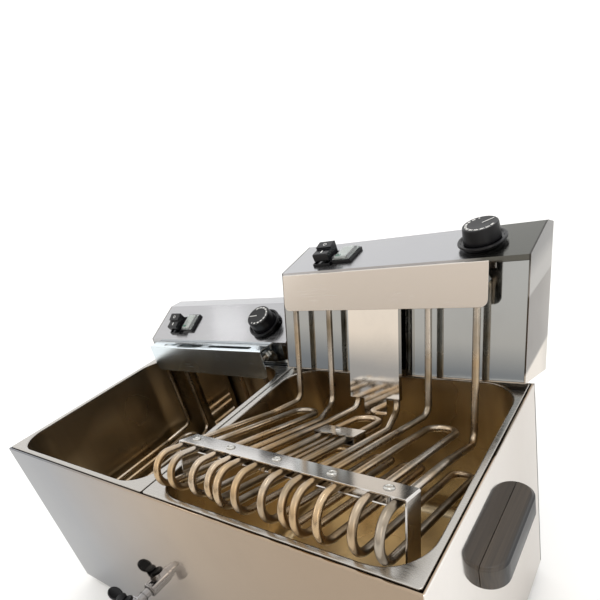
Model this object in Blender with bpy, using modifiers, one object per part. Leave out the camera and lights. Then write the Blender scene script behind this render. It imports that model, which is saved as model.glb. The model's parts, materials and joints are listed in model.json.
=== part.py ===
"""Countertop double-tank electric deep fryer: housing, two tanks, two lift-out heating heads."""
import math

import bmesh
import bpy
from mathutils import Matrix, Vector

# Housing (metres, +Z up, front towards -Y, the housing centred on the z axis while it is built)
WIDTH = 0.580
DEPTH = 0.265
RIM_Z = 0.248
FOOT_H = 0.012
SHEET = 0.0012
GAP = 0.0003
RIM_FOLD = 0.0025
RIM_DROP = 0.0085
SHELF = 0.0036
REAR_SEAM_Y = 0.1297
ORIGIN_SHIFT_Y = -0.0205

# Tanks
TANK_X = 0.145
TANK_HALF_X = 0.136
TANK_HALF_Y = 0.125
TANK_Y = 0.0016
TANK_R = 0.038
TANK_FLOOR_Z = 0.0632
FLANGE_Z = 0.2492
FLANGE_IN = 0.0009
FLANGE_OUT = 0.2868
FLANGE_Y = 0.1293
TANK_SHEET = 0.001

# Heating head, given in its working place with x measured from the head's middle
HEAD_HALF = 0.141
PANEL_Y = 0.134
PANEL_Z = 0.2815
PANEL_SLOPE = math.radians(28.35)
PANEL_LEN = 0.0667
LIP_H = 0.005
HEAD_BACK_Y = 0.2155
HEAD_BOTTOM_Z = 0.1654
HEAD_TILT = math.radians(18.2)
HEAD_SHIFT_Y = 0.018
HEAD_SHIFT_Z = 0.0846
HOOK_Y = 0.1565
HOOK_H = 0.006

# Deflector in front of the tube outlets
DEFLECTOR_Y = 0.1125
DEFLECTOR_X0 = -0.1225
DEFLECTOR_X1 = 0.1115
DEFLECTOR_Z0 = 0.2375
DEFLECTOR_Z1 = 0.2785
DEFLECTOR_R = 0.007

# Heating elements
TUBE_R = 0.0035
TUBE_SIDES = 6
ELEMENT_PITCH = 0.0822
ELEMENT_MID = -0.0055
RISER_SHIFT = 0.0
RISER_HALF = 0.0235
TUBE_OUTER = 0.035
TUBE_INNER = 0.0145
RISER_Y = 0.1190
OUTLET_Z = 0.262
UPPER_Z = 0.1215
LOWER_ZS = (0.0898, 0.0865, 0.0835)
FRONT_BEND_Y = -0.0747
UPPER_TURN_Y = 0.091
LOWER_TURN_Y = 0.080
LEG_BEND_Z = 0.130
LEG_KINK_Y = 0.076
LAST_LEG_BEND_Z = 0.105
LAST_LEG_KINK_Y = 0.018
CAPILLARY_R = 0.0017
GUARD_NOTCH_Z = 0.1415
CLAMP_X0 = -0.1278
CLAMP_X1 = 0.1205
CLAMP_Y0 = -0.0580
CLAMP_Y1 = -0.0360
CLAMP_SKEW = -0.0135
CLAMP_FOOT_Z = 0.0735
RIVET_XS = (-0.1125, -0.063, -0.0055, 0.052, 0.1015)

# Controls on the sloping panel: x from the head's middle, s up the slope from its front edge
KNOB_X = 0.0912
KNOB_S = 0.0285
BEZEL_R = 0.0232
KNOB_R = 0.0168
KNOB_TOP = 0.0207
SHAFT_R = 0.003
RUNNING = 0.00009
POINTER_ANGLE = {"left": math.radians(187), "right": math.radians(45)}
ROCKER_X = -0.0887
ROCKER_S = 0.026
ROCKER_W = 0.0228
ROCKER_CAP_W = 0.0208
SWITCH_LEN = 0.032
LAMP_X = -0.064
LAMP_S = 0.0305
LAMP_W = 0.026

# Side handles and drain taps
HANDLE_Y = 0.0065
HANDLE_TOP_Z = 0.1860
HANDLE_T = 0.0235
HANDLE_R = 0.0184
HANDLE_HALF = 0.0370
HANDLE_STUD_R = 0.0035
HANDLE_STUD_YS = (-0.026, 0.026)
TAP_Z = 0.043
TAP_BODY_Y = -0.157
TAP_SHIFT_X = 0.022
BALL_R = 0.0075

STEEL = (0.60, 0.59, 0.57)
MIRROR_STEEL = (0.70, 0.69, 0.67)
TANK_STEEL = (0.46, 0.38, 0.26)
ELEMENT_STEEL = (0.36, 0.30, 0.22)
BLACK = (0.02, 0.02, 0.022)
DARK = (0.045, 0.045, 0.05)
RUBBER = (0.03, 0.03, 0.03)
CHROME = (0.75, 0.75, 0.76)
LENS = (0.80, 0.84, 0.82)
BRASS = (0.62, 0.50, 0.26)

PARTS = "deep_fryer"


def clear_scene():
    for obj in list(bpy.data.objects):
        bpy.data.objects.remove(obj, do_unlink=True)
    for coll in list(bpy.data.collections):
        bpy.data.collections.remove(coll)
    coll = bpy.data.collections.new(PARTS)
    bpy.context.scene.collection.children.link(coll)


def material(name, colour, metallic, roughness):
    mat = bpy.data.materials.new(name)
    mat.use_nodes = True
    shader = mat.node_tree.nodes["Principled BSDF"]
    shader.inputs["Base Color"].default_value = (*colour, 1.0)
    shader.inputs["Metallic"].default_value = metallic
    shader.inputs["Roughness"].default_value = roughness
    return mat


def piece(name, bm, look, smooth=False):
    """Make a named object from a bmesh, with its own material."""
    bmesh.ops.remove_doubles(bm, verts=bm.verts, dist=1e-6)
    bmesh.ops.recalc_face_normals(bm, faces=bm.faces)
    mesh = bpy.data.meshes.new(name)
    bm.to_mesh(mesh)
    bm.free()
    mesh.materials.append(material(name, *look))
    if smooth:
        mesh.shade_smooth()
        mesh.set_sharp_from_angle(angle=math.radians(35))
    obj = bpy.data.objects.new(name, mesh)
    bpy.data.collections[PARTS].objects.link(obj)
    return obj


def bake(obj):
    """Turn an object's modifiers into its mesh."""
    bpy.context.view_layer.update()
    graph = bpy.context.evaluated_depsgraph_get()
    mesh = bpy.data.meshes.new_from_object(obj.evaluated_get(graph))
    old = obj.data
    obj.modifiers.clear()
    obj.data = mesh
    bpy.data.meshes.remove(old)
    mesh.name = obj.name


def combine(obj, tools, operation):
    """Join or cut an object with tool solids given as bmeshes."""
    for bm in tools:
        bmesh.ops.recalc_face_normals(bm, faces=bm.faces)
        mesh = bpy.data.meshes.new("tool")
        bm.to_mesh(mesh)
        bm.free()
        tool = bpy.data.objects.new("tool", mesh)
        bpy.data.collections[PARTS].objects.link(tool)
        mod = obj.modifiers.new("combine", "BOOLEAN")
        mod.solver = "EXACT"
        mod.operation = operation
        mod.object = tool
        bake(obj)
        bpy.data.objects.remove(tool, do_unlink=True)
        bpy.data.meshes.remove(mesh)
    return obj


def box(x0, x1, y0, y1, z0, z1):
    bm = bmesh.new()
    centre = Matrix.Translation(((x0 + x1) / 2, (y0 + y1) / 2, (z0 + z1) / 2))
    size = Matrix.Diagonal((x1 - x0, y1 - y0, z1 - z0, 1.0))
    bmesh.ops.create_cube(bm, size=1.0, matrix=centre @ size)
    return bm


def prism(outline, low, high, frame=None):
    """Extrude a flat outline from low to high. frame turns (u, v, w) into x, y, z."""
    frame = frame or (lambda u, v, w: (u, v, w))
    bm = bmesh.new()
    ends = [[bm.verts.new(frame(u, v, w)) for u, v in outline] for w in (low, high)]
    bm.faces.new(ends[0])
    bm.faces.new(ends[1])
    count = len(outline)
    for i in range(count):
        j = (i + 1) % count
        bm.faces.new((ends[0][i], ends[0][j], ends[1][j], ends[1][i]))
    return bm


def along_x(u, v, w):
    return (w, u, v)


def along_y(u, v, w):
    return (u, w, v)


def disc_outline(radius, count=32, middle=(0.0, 0.0), turn=0.0):
    step = 2 * math.pi / count
    return [(middle[0] + radius * math.cos(turn + i * step),
             middle[1] + radius * math.sin(turn + i * step)) for i in range(count)]


def rounded_outline(x0, x1, y0, y1, radius, steps=5):
    """Anticlockwise rounded rectangle, starting at its right front corner."""
    corners = ((x1 - radius, y0 + radius, -90), (x1 - radius, y1 - radius, 0),
               (x0 + radius, y1 - radius, 90), (x0 + radius, y0 + radius, 180))
    points = []
    for cx, cy, start in corners:
        for i in range(steps + 1):
            angle = math.radians(start + 90 * i / steps)
            points.append((cx + radius * math.cos(angle), cy + radius * math.sin(angle)))
    return points


def turned(profile, count=32):
    """Solid of revolution about z from (radius, z) points that start and end on the axis."""
    bm = bmesh.new()
    rings = []
    for radius, z in profile:
        if radius < 1e-6:
            rings.append([bm.verts.new((0.0, 0.0, z))])
        else:
            rings.append([bm.verts.new((x, y, z)) for x, y in disc_outline(radius, count)])
    for low, high in zip(rings, rings[1:]):
        for i in range(count):
            j = (i + 1) % count
            corners = [low[i % len(low)], low[j % len(low)], high[j % len(high)], high[i % len(high)]]
            unique = list(dict.fromkeys(corners))
            if len(unique) > 2:
                bm.faces.new(unique)
    return bm


def ring_solid(profile, count=32):
    """Solid of revolution about z from a closed (radius, z) outline that stays off the axis."""
    bm = bmesh.new()
    rings = [[bm.verts.new((x, y, z)) for x, y in disc_outline(r, count)] for r, z in profile]
    for k, low in enumerate(rings):
        high = rings[(k + 1) % len(rings)]
        for i in range(count):
            j = (i + 1) % count
            bm.faces.new((low[i], low[j], high[j], high[i]))
    return bm


def moved(bm, matrix):
    bmesh.ops.transform(bm, matrix=matrix, verts=bm.verts)
    return bm


def fillet(path, radii, steps=5):
    """Round the inner corners of a polyline; a corner with radius 0 stays sharp."""
    points = [Vector(path[0])]
    for k in range(1, len(path) - 1):
        corner, radius = Vector(path[k]), radii[k]
        back = (Vector(path[k - 1]) - corner).normalized()
        ahead = (Vector(path[k + 1]) - corner).normalized()
        half = back.angle(ahead) / 2
        if radius == 0 or half > math.pi / 2 - 0.01:
            points.append(corner)
            continue
        middle = corner + (back + ahead).normalized() * (radius / math.sin(half))
        start = corner + back * (radius / math.tan(half))
        end = corner + ahead * (radius / math.tan(half))
        a, b = start - middle, end - middle
        total = a.angle(b)
        for i in range(steps + 1):
            t = i / steps
            mix = (a * math.sin((1 - t) * total) + b * math.sin(t * total)) / math.sin(total)
            points.append(middle + mix)
    points.append(Vector(path[-1]))
    return points


def swept(path, radius, sides=8):
    """Solid round bar along a path, carried round bends without twist."""
    bm = bmesh.new()
    tangents = []
    for k in range(len(path)):
        a = path[max(k - 1, 0)]
        b = path[min(k + 1, len(path) - 1)]
        tangents.append((b - a).normalized())
    normal = tangents[0].orthogonal().normalized()
    rings = []
    for k, point in enumerate(path):
        if k:
            normal = tangents[k - 1].rotation_difference(tangents[k]) @ normal
        side = tangents[k].cross(normal)
        rings.append([bm.verts.new(point + normal * (radius * math.cos(a)) + side * (radius * math.sin(a)))
                      for a in (2 * math.pi * i / sides for i in range(sides))])
    for low, high in zip(rings, rings[1:]):
        for i in range(sides):
            j = (i + 1) % sides
            bm.faces.new((low[i], low[j], high[j], high[i]))
    bm.faces.new(rings[0])
    bm.faces.new(rings[-1])
    return bm


def bent_sheet(line, thickness):
    """Closed outline of a sheet whose outer face follows a polyline; the sheet lies on its right."""
    pts = [Vector(p) for p in line]
    inner = []
    for k, p in enumerate(pts):
        dirs = []
        if k > 0:
            dirs.append((p - pts[k - 1]).normalized())
        if k < len(pts) - 1:
            dirs.append((pts[k + 1] - p).normalized())
        normals = [Vector((d.y, -d.x)) for d in dirs]
        mean = sum(normals, Vector((0.0, 0.0))).normalized()
        inner.append(p + mean * (thickness / mean.dot(normals[0])))
    return [tuple(p) for p in pts] + [tuple(p) for p in reversed(inner)]


# Housing

def rim_profile():
    """(inset, height) of the housing wall's outer face, up the wall and over its joggled rim."""
    drop = RIM_Z - RIM_DROP
    return [(0.0, FOOT_H), (0.0, RIM_Z - 0.0008), (0.0008, RIM_Z), (RIM_FOLD, RIM_Z),
            (RIM_FOLD, drop), (RIM_FOLD + SHELF, drop)]


def housing_shell():
    """Front and both sides, one folded sheet open at the back."""
    half_x, front = WIDTH / 2, -DEPTH / 2
    outline = bent_sheet([(inset, z) for inset, z in rim_profile()], SHEET)
    bm = bmesh.new()
    loops = []
    for inset, z in outline:
        x, y = half_x - inset, front + inset
        corners = ((-x, REAR_SEAM_Y), (-x, y), (x, y), (x, REAR_SEAM_Y))
        loops.append([bm.verts.new((cx, cy, z)) for cx, cy in corners])
    for k, low in enumerate(loops):
        high = loops[(k + 1) % len(loops)]
        for i in range(3):
            bm.faces.new((low[i], low[i + 1], high[i + 1], high[i]))
    bm.faces.new([loop[0] for loop in loops])
    bm.faces.new([loop[3] for loop in loops])
    shell = piece("housing_shell", bm, (MIRROR_STEEL, 1.0, 0.12))
    holes = [prism(disc_outline(0.0075, 16, (side * TANK_X + TAP_SHIFT_X, TAP_Z)), -0.14, -0.125, along_y)
             for side in (-1, 1)]
    for y in HANDLE_STUD_YS:
        stud_hole = disc_outline(HANDLE_STUD_R + GAP, 10, (HANDLE_Y + y, HANDLE_TOP_Z - HANDLE_T / 2))
        for side in (-1, 1):
            wall = sorted((side * (half_x - 0.004), side * (half_x + 0.004)))
            holes.append(prism(stud_hole, *wall, along_x))
    return combine(shell, holes, "DIFFERENCE")


def rear_panel():
    half_x, back = WIDTH / 2, DEPTH / 2
    line = [(back - inset, z) for inset, z in rim_profile()[:5]]
    outline = bent_sheet([(y, z) for y, z in reversed(line)], SHEET)
    return piece("rear_panel", prism(outline, -half_x, half_x, along_x), (STEEL, 1.0, 0.3))


def base_plate():
    edge = SHEET + GAP
    bm = box(-WIDTH / 2 + edge, WIDTH / 2 - edge, -DEPTH / 2 + edge, DEPTH / 2 - edge,
             FOOT_H, FOOT_H + SHEET)
    plate = piece("base_plate", bm, (STEEL, 1.0, 0.35))
    slots = []
    for side in (-1, 1):
        for row in range(4):
            y = -0.045 + row * 0.03
            slots.append(box(side * TANK_X - 0.04, side * TANK_X + 0.04, y, y + 0.006, 0.0, 0.03))
    return combine(plate, slots, "DIFFERENCE")


def feet():
    top = FOOT_H - GAP
    for i, x in enumerate((-0.245, 0.245)):
        for j, y in enumerate((-0.092, 0.092)):
            bm = turned([(0, 0), (0.0125, 0), (0.014, 0.0015), (0.0155, top), (0, top)], 12)
            moved(bm, Matrix.Translation((x, y, 0)))
            piece(f"foot_{'lr'[i]}{'fb'[j]}", bm, (RUBBER, 0.0, 0.8), smooth=True)


def tank(side, name):
    """One drawn pan with a folded flange, and its drain hole."""
    inner = (side * FLANGE_IN, side * FLANGE_OUT)
    fx0, fx1 = min(inner), max(inner)
    ox0, ox1 = side * TANK_X - TANK_HALF_X, side * TANK_X + TANK_HALF_X
    oy0, oy1 = TANK_Y - TANK_HALF_Y, TANK_Y + TANK_HALF_Y

    def flange(inset, z):
        sides = (fx0 + inset, fx1 - inset, -FLANGE_Y + inset, FLANGE_Y - inset)
        return rounded_outline(*sides, 0.003 - inset), z

    def pan(inset, z, rear_inset=None):
        back = oy1 - (inset if rear_inset is None else rear_inset)
        return rounded_outline(ox0 + inset, ox1 - inset, oy0 + inset, back, TANK_R - inset * 0.7), z

    levels = [flange(0.0, 0.2402), flange(0.0, FLANGE_Z - 0.001), flange(0.001, FLANGE_Z),
              pan(-0.0016, FLANGE_Z), pan(-0.0005, FLANGE_Z - 0.0005), pan(0.0, FLANGE_Z - 0.0018),
              pan(0.0012, 0.088, 0.0005), pan(0.005, 0.0745), pan(0.018, TANK_FLOOR_Z)]
    bm = bmesh.new()
    loops = [[bm.verts.new((x, y, z)) for x, y in outline] for outline, z in levels]
    count = len(loops[0])
    for low, high in zip(loops, loops[1:]):
        for i in range(count):
            j = (i + 1) % count
            bm.faces.new((low[i], low[j], high[j], high[i]))
    bm.faces.new(loops[-1])
    obj = piece(name, bm, (TANK_STEEL, 1.0, 0.3))
    bm = bmesh.new()
    bm.from_mesh(obj.data)
    bm.faces.ensure_lookup_table()
    if max(bm.faces, key=lambda f: f.calc_area()).normal.z < 0:
        bmesh.ops.reverse_faces(bm, faces=bm.faces)
    bm.to_mesh(obj.data)
    bm.free()
    skin = obj.modifiers.new("sheet", "SOLIDIFY")
    skin.thickness = TANK_SHEET
    skin.offset = -1.0
    skin.use_even_offset = True
    bake(obj)
    hole = prism(disc_outline(0.0068, 12, (side * TANK_X + TAP_SHIFT_X, -0.092)), 0.055, 0.07)
    combine(obj, [hole], "DIFFERENCE")
    obj.data.shade_smooth()
    obj.data.set_sharp_from_angle(angle=math.radians(40))
    return obj


def side_handle(side, name):
    """Half-round plastic grip with its flat back against the side wall, held by two studs."""
    inner = WIDTH / 2 + GAP
    rounding = [(0.0022, 0.0), (0.0006, 0.0008), (0.0, 0.0026),
                (0.0, HANDLE_T - 0.0022), (0.0007, HANDLE_T - 0.0007), (0.0022, HANDLE_T)]
    bm = bmesh.new()
    rings = []
    for inset, rise in rounding:
        radius = HANDLE_R - inset
        ring = []
        for end, start in ((-1, -90), (1, 0)):
            for i in range(9):
                a = math.radians(start + 90 * i / 8)
                x = side * (inner + radius * math.cos(a))
                y = HANDLE_Y + end * HANDLE_HALF + radius * math.sin(a)
                ring.append((x, y, HANDLE_TOP_Z - HANDLE_T + rise))
        rings.append([bm.verts.new(point) for point in ring])
    count = len(rings[0])
    for a, b in zip(rings, rings[1:]):
        for i in range(count):
            j = (i + 1) % count
            bm.faces.new((a[i], a[j], b[j], b[i]))
    bm.faces.new(rings[0])
    bm.faces.new(rings[-1])
    obj = piece(name, bm, (BLACK, 0.0, 0.45), smooth=True)
    studs = []
    for y in HANDLE_STUD_YS:
        low, high = sorted((side * (inner - 0.006), side * (inner + 0.004)))
        stud = disc_outline(HANDLE_STUD_R, 10, (HANDLE_Y + y, HANDLE_TOP_Z - HANDLE_T / 2))
        studs.append(prism(stud, low, high, along_x))
    return combine(obj, studs, "UNION")


def tap_body(side, name):
    """Elbow from the tank's drain hole, out through the front wall, into a ball valve with a spout."""
    x = side * TANK_X + TAP_SHIFT_X
    path = fillet([(x, -0.092, 0.0615), (x, -0.092, TAP_Z), (x, TAP_BODY_Y + 0.004, TAP_Z)], [0, 0.010, 0], 3)
    obj = piece(name, swept(path, 0.0062, 10), (CHROME, 1.0, 0.15), smooth=True)
    quarter = Matrix.Translation((x, TAP_BODY_Y, TAP_Z)) @ Matrix.Rotation(math.radians(90), 4, "X")
    body = moved(turned([(0, -0.0145), (0.0090, -0.0145), (0.0102, -0.013), (0.0102, 0.0145),
                         (0.0088, 0.0155), (0.0088, 0.022), (0, 0.022)], 16), quarter)
    nut = moved(prism(disc_outline(0.0105, 6), -0.0155, -0.0085), quarter)
    bonnet = moved(turned([(0, 0.0), (0.0066, 0.0), (0.0066, 0.0145), (0.0056, 0.0155), (0, 0.0155)], 12),
                   Matrix.Translation((x, TAP_BODY_Y, TAP_Z)))
    spout_path = fillet([(x, TAP_BODY_Y - 0.018, TAP_Z), (x, TAP_BODY_Y - 0.034, TAP_Z),
                         (x, TAP_BODY_Y - 0.034, TAP_Z - 0.024)], [0, 0.009, 0], 3)
    combine(obj, [body, nut, bonnet, swept(spout_path, 0.0072, 10)], "UNION")
    drill_path = fillet([(x, -0.092, 0.0625), (x, -0.092, TAP_Z), (x, TAP_BODY_Y - 0.034, TAP_Z),
                         (x, TAP_BODY_Y - 0.034, TAP_Z - 0.026)], [0, 0.010, 0.009, 0], 2)
    pocket = moved(turned([(0, -0.0078), (0.0078, -0.0078), (0.0078, 0.0078), (0, 0.0078)], 12),
                   Matrix.Translation((x, TAP_BODY_Y, TAP_Z)))
    stem_hole = moved(prism(disc_outline(0.0028, 12), 0.0, 0.02), Matrix.Translation((x, TAP_BODY_Y, TAP_Z)))
    return combine(obj, [swept(drill_path, 0.0042, 8), pocket, stem_hole], "DIFFERENCE")


def tap_ball(side, name):
    """Drilled ball, shut across the pipe, with the stem that turns it."""
    levels = [math.radians(a) for a in range(-90, 91, 30)]
    bm = turned([(BALL_R * math.cos(a), BALL_R * math.sin(a)) for a in levels], 12)
    obj = piece(name, bm, (BRASS, 1.0, 0.25), smooth=True)
    stem = turned([(0, 0.004), (0.0027, 0.004), (0.0027, 0.0235), (0, 0.0235)], 12)
    combine(obj, [stem], "UNION")
    combine(obj, [prism(disc_outline(0.0042, 8), -0.01, 0.01, along_x)], "DIFFERENCE")
    obj.data.transform(Matrix.Translation((side * TANK_X + TAP_SHIFT_X, TAP_BODY_Y, TAP_Z)))
    return obj


def tap_handle(side, name):
    """Two-winged plastic turn handle on the stem."""
    bm = turned([(0, 0.0165), (0.0062, 0.0165), (0.0068, 0.018), (0.0068, 0.026), (0.0058, 0.0275),
                 (0, 0.0275)], 12)
    obj = piece(name, bm, (BLACK, 0.0, 0.5), smooth=True)
    wings = []
    for turn in (0, 180):
        wing = turned([(0, -0.0021), (0.0078, -0.0021), (0.0088, -0.001), (0.0088, 0.001), (0.0078, 0.0021),
                       (0, 0.0021)], 14)
        shape = (Matrix.Rotation(math.radians(turn), 4, "Z") @ Matrix.Translation((0.0125, 0, 0.0262))
                 @ Matrix.Rotation(math.radians(-22), 4, "Y") @ Matrix.Diagonal((1.3, 0.9, 1.0, 1.0)))
        wings.append(moved(wing, shape))
    combine(obj, wings, "UNION")
    socket = prism(disc_outline(0.0028, 12), 0.010, 0.0242)
    combine(obj, [socket], "DIFFERENCE")
    obj.data.transform(Matrix.Translation((side * TANK_X + TAP_SHIFT_X, TAP_BODY_Y, TAP_Z)))
    return obj


# Heating head

def slope_frame():
    """Matrix from (x, along the slope, off the panel) to the head's x, y, z."""
    c, s = math.cos(PANEL_SLOPE), math.sin(PANEL_SLOPE)
    return Matrix(((1, 0, 0, 0), (0, c, -s, PANEL_Y), (0, s, c, PANEL_Z), (0, 0, 0, 1)))


def on_panel(bm, x, s):
    return moved(bm, slope_frame() @ Matrix.Translation((x, s, 0)))


def panel_back():
    return (PANEL_Y + PANEL_LEN * math.cos(PANEL_SLOPE), PANEL_Z + PANEL_LEN * math.sin(PANEL_SLOPE))


def control_cover(name):
    """Front lip, sloping panel, flat top and back wall, one folded sheet."""
    back_y, top_z = panel_back()
    line = [(PANEL_Y, PANEL_Z - LIP_H), (PANEL_Y, PANEL_Z), (back_y, top_z), (HEAD_BACK_Y, top_z),
            (HEAD_BACK_Y, HEAD_BOTTOM_Z + SHEET + GAP)]
    half = HEAD_HALF - SHEET - GAP
    obj = piece(name, prism(bent_sheet(line, SHEET), -half, half, along_x), (STEEL, 1.0, 0.25))
    tools = [on_panel(prism(disc_outline(0.0052, 16), -0.01, 0.01), KNOB_X, KNOB_S),
             on_panel(box(-0.0072, 0.0072, -0.0135, 0.0135, -0.01, 0.01), ROCKER_X, ROCKER_S),
             on_panel(box(-0.0105, 0.0105, -0.013, 0.013, -0.01, 0.01), LAMP_X, LAMP_S),
             prism(disc_outline(0.0088, 14, (0.095, 0.192)), 0.20, 0.23, along_y)]
    for row in range(4):
        z = 0.235 + row * 0.014
        tools.append(box(-0.05, 0.02, 0.20, 0.23, z, z + 0.004))
    return combine(obj, tools, "DIFFERENCE")


def head_tray(name):
    """Bottom and both side cheeks, with the lip that hooks behind the housing's back wall."""
    back_y, top_z = panel_back()
    cheek = [(PANEL_Y, HEAD_BOTTOM_Z), (HEAD_BACK_Y, HEAD_BOTTOM_Z), (HEAD_BACK_Y, top_z), (back_y, top_z),
             (PANEL_Y, PANEL_Z)]
    half = HEAD_HALF
    obj = piece(name, box(-half, half, PANEL_Y, HEAD_BACK_Y, HEAD_BOTTOM_Z, HEAD_BOTTOM_Z + SHEET),
                (MIRROR_STEEL, 1.0, 0.12))
    tools = [prism(cheek, -half, -half + SHEET, along_x), prism(cheek, half - SHEET, half, along_x),
             box(-0.06, 0.06, HOOK_Y, HOOK_Y + SHEET, HEAD_BOTTOM_Z - HOOK_H, HEAD_BOTTOM_Z + 0.0006)]
    combine(obj, tools, "UNION")
    vents = [box(x - 0.003, x + 0.003, 0.172, 0.200, 0.15, 0.18)
             for x in (-0.09, -0.075, -0.06, 0.06, 0.075, 0.09)]
    return combine(obj, vents, "DIFFERENCE")


def element_mid(k):
    return ELEMENT_MID + (k - 1) * ELEMENT_PITCH


def riser_xs():
    return [element_mid(k) + RISER_SHIFT + side * RISER_HALF for k in range(3) for side in (-1, 1)]


def capillary_xs():
    return [ELEMENT_MID - 0.004, ELEMENT_MID + 0.004]


def front_wall(name):
    """Polished wall with the tube outlets and two tabs that rest on the tank's rear rim."""
    half = HEAD_HALF - SHEET - GAP
    y0 = PANEL_Y + 0.0001
    bm = box(-half, half, y0, y0 + SHEET, HEAD_BOTTOM_Z + SHEET + GAP, PANEL_Z - LIP_H - GAP)
    obj = piece(name, bm, (MIRROR_STEEL, 1.0, 0.08))
    tabs = [box(x - 0.007, x + 0.007, y0 - 0.0062, y0 + 0.0004, FLANGE_Z + GAP, FLANGE_Z + GAP + SHEET)
            for x in (-0.1075, 0.0345)]
    combine(obj, tabs, "UNION")
    holes = [prism(disc_outline(0.0040, 8, (x, OUTLET_Z)), 0.12, 0.15, along_y) for x in riser_xs()]
    holes += [prism(disc_outline(0.0022, 8, (x, OUTLET_Z)), 0.12, 0.15, along_y) for x in capillary_xs()]
    return combine(obj, holes, "DIFFERENCE")


def deflector(name):
    """Hanging plate with a slotted top flange that ties it to the head."""
    y0, y1 = DEFLECTOR_Y, DEFLECTOR_Y + SHEET
    r = DEFLECTOR_R
    face = []
    for cx, start in ((DEFLECTOR_X0 + r, 180), (DEFLECTOR_X1 - r, 270)):
        for i in range(4):
            a = math.radians(start + 90 * i / 3)
            face.append((cx + r * math.cos(a), DEFLECTOR_Z0 + r + r * math.sin(a)))
    face += [(DEFLECTOR_X1, DEFLECTOR_Z1), (DEFLECTOR_X0, DEFLECTOR_Z1)]
    obj = piece(name, prism(face, y0, y1, along_y), (STEEL, 1.0, 0.25))
    back = PANEL_Y - GAP
    flange = box(DEFLECTOR_X0, DEFLECTOR_X1, y0, back, DEFLECTOR_Z1 - SHEET, DEFLECTOR_Z1)
    turn_down = box(DEFLECTOR_X0, DEFLECTOR_X1, back - SHEET, back, DEFLECTOR_Z1 - 0.007, DEFLECTOR_Z1)
    combine(obj, [flange, turn_down], "UNION")
    slots = []
    for x0, x1 in ((-0.094, -0.066), (-0.058, -0.008), (0.006, 0.088)):
        slots.append(prism(rounded_outline(x0, x1, y0 + 0.005, y0 + 0.012, 0.0030, 2),
                           DEFLECTOR_Z1 - 0.003, DEFLECTOR_Z1 + 0.001))
    return combine(obj, slots, "DIFFERENCE")


def arc(middle, radius, start, end, plane, steps=5):
    """Points round an arc, in the upright yz plane or the level xy plane. Angles from +y or +x."""
    points = []
    for i in range(steps + 1):
        a = math.radians(start + (end - start) * i / steps)
        c, s = radius * math.cos(a), radius * math.sin(a)
        points.append(Vector(middle) + (Vector((0, c, s)) if plane == "yz" else Vector((c, s, 0))))
    return points


def element_leg(riser_x, tube_x, bend_z, kink_y):
    """Centre line from inside the head, down the riser and forward to the start of the upper run."""
    path = [(riser_x, 0.150, OUTLET_Z), (riser_x, RISER_Y, OUTLET_Z), (riser_x, RISER_Y, bend_z),
            (tube_x, kink_y, UPPER_Z), (tube_x, kink_y - 0.03, UPPER_Z)]
    return fillet(path, [0, 0.0088, 0.012, 0.03, 0], 2)[:-1]


def heating_element(k, name):
    """One tube: riser, four front bends, two lower and one upper rear turn, and the second riser."""
    mid = element_mid(k)
    xs = [mid - TUBE_OUTER, mid - TUBE_INNER, mid + TUBE_INNER, mid + TUBE_OUTER]
    low_z = LOWER_ZS[k]
    drop = (UPPER_Z - low_z) / 2
    mid_z = (UPPER_Z + low_z) / 2
    turn = (TUBE_OUTER - TUBE_INNER) / 2
    last = k == 2
    path = element_leg(mid + RISER_SHIFT - RISER_HALF, xs[0], LEG_BEND_Z, LEG_KINK_Y)
    path += arc((xs[0], FRONT_BEND_Y, mid_z), drop, 90, 270, "yz")
    path += arc(((xs[0] + xs[1]) / 2, LOWER_TURN_Y, low_z), turn, 180, 0, "xy")
    path += arc((xs[1], FRONT_BEND_Y, mid_z), drop, 270, 90, "yz")
    path += arc((mid, UPPER_TURN_Y, UPPER_Z), TUBE_INNER, 180, 0, "xy", 6)
    path += arc((xs[2], FRONT_BEND_Y, mid_z), drop, 90, 270, "yz")
    path += arc(((xs[2] + xs[3]) / 2, LOWER_TURN_Y, low_z), turn, 180, 0, "xy")
    path += arc((xs[3], FRONT_BEND_Y, mid_z), drop, 270, 90, "yz")
    end = element_leg(mid + RISER_SHIFT + RISER_HALF, xs[3], LAST_LEG_BEND_Z if last else LEG_BEND_Z,
                      LAST_LEG_KINK_Y if last else LEG_KINK_Y)
    path += list(reversed(end))
    obj = piece(name, swept(path, TUBE_R, TUBE_SIDES), (ELEMENT_STEEL, 1.0, 0.35), smooth=True)
    nuts = [prism(disc_outline(0.0066, 6, (mid + RISER_SHIFT + side * RISER_HALF, OUTLET_Z)),
                  0.1297, PANEL_Y - 0.0002, along_y) for side in (-1, 1)]
    return combine(obj, nuts, "UNION")


def element_clamp(name):
    """Riveted pair of bars laid slightly askew across the upper runs, with a leg at each end."""
    top, thick = UPPER_Z + TUBE_R + GAP, 0.0015
    low = UPPER_Z - TUBE_R - GAP
    line = [(CLAMP_X0, CLAMP_FOOT_Z), (CLAMP_X0, top + thick),
            (CLAMP_X1, top + thick), (CLAMP_X1, CLAMP_FOOT_Z)]
    obj = piece(name, prism(bent_sheet(line, thick), CLAMP_Y0, CLAMP_Y1, along_y), (STEEL, 1.0, 0.25))
    mid_y = (CLAMP_Y0 + CLAMP_Y1) / 2
    tools = [box(CLAMP_X0 + 0.0075, CLAMP_X1 - 0.0095, mid_y - 0.007, mid_y + 0.007, low - thick, low)]
    for x in RIVET_XS:
        crown = top + thick + 0.0014
        rivet = turned([(0, low - thick / 2), (0.0014, low - thick / 2), (0.0014, top + thick / 2),
                        (0.0044, top + thick / 2), (0.0034, crown), (0, crown)], 8)
        tools.append(moved(rivet, Matrix.Translation((x, mid_y, 0))))
    combine(obj, tools, "UNION")
    for vert in obj.data.vertices:
        vert.co.y += CLAMP_SKEW * (vert.co.x - CLAMP_X0) / (CLAMP_X1 - CLAMP_X0)
    return obj


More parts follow.
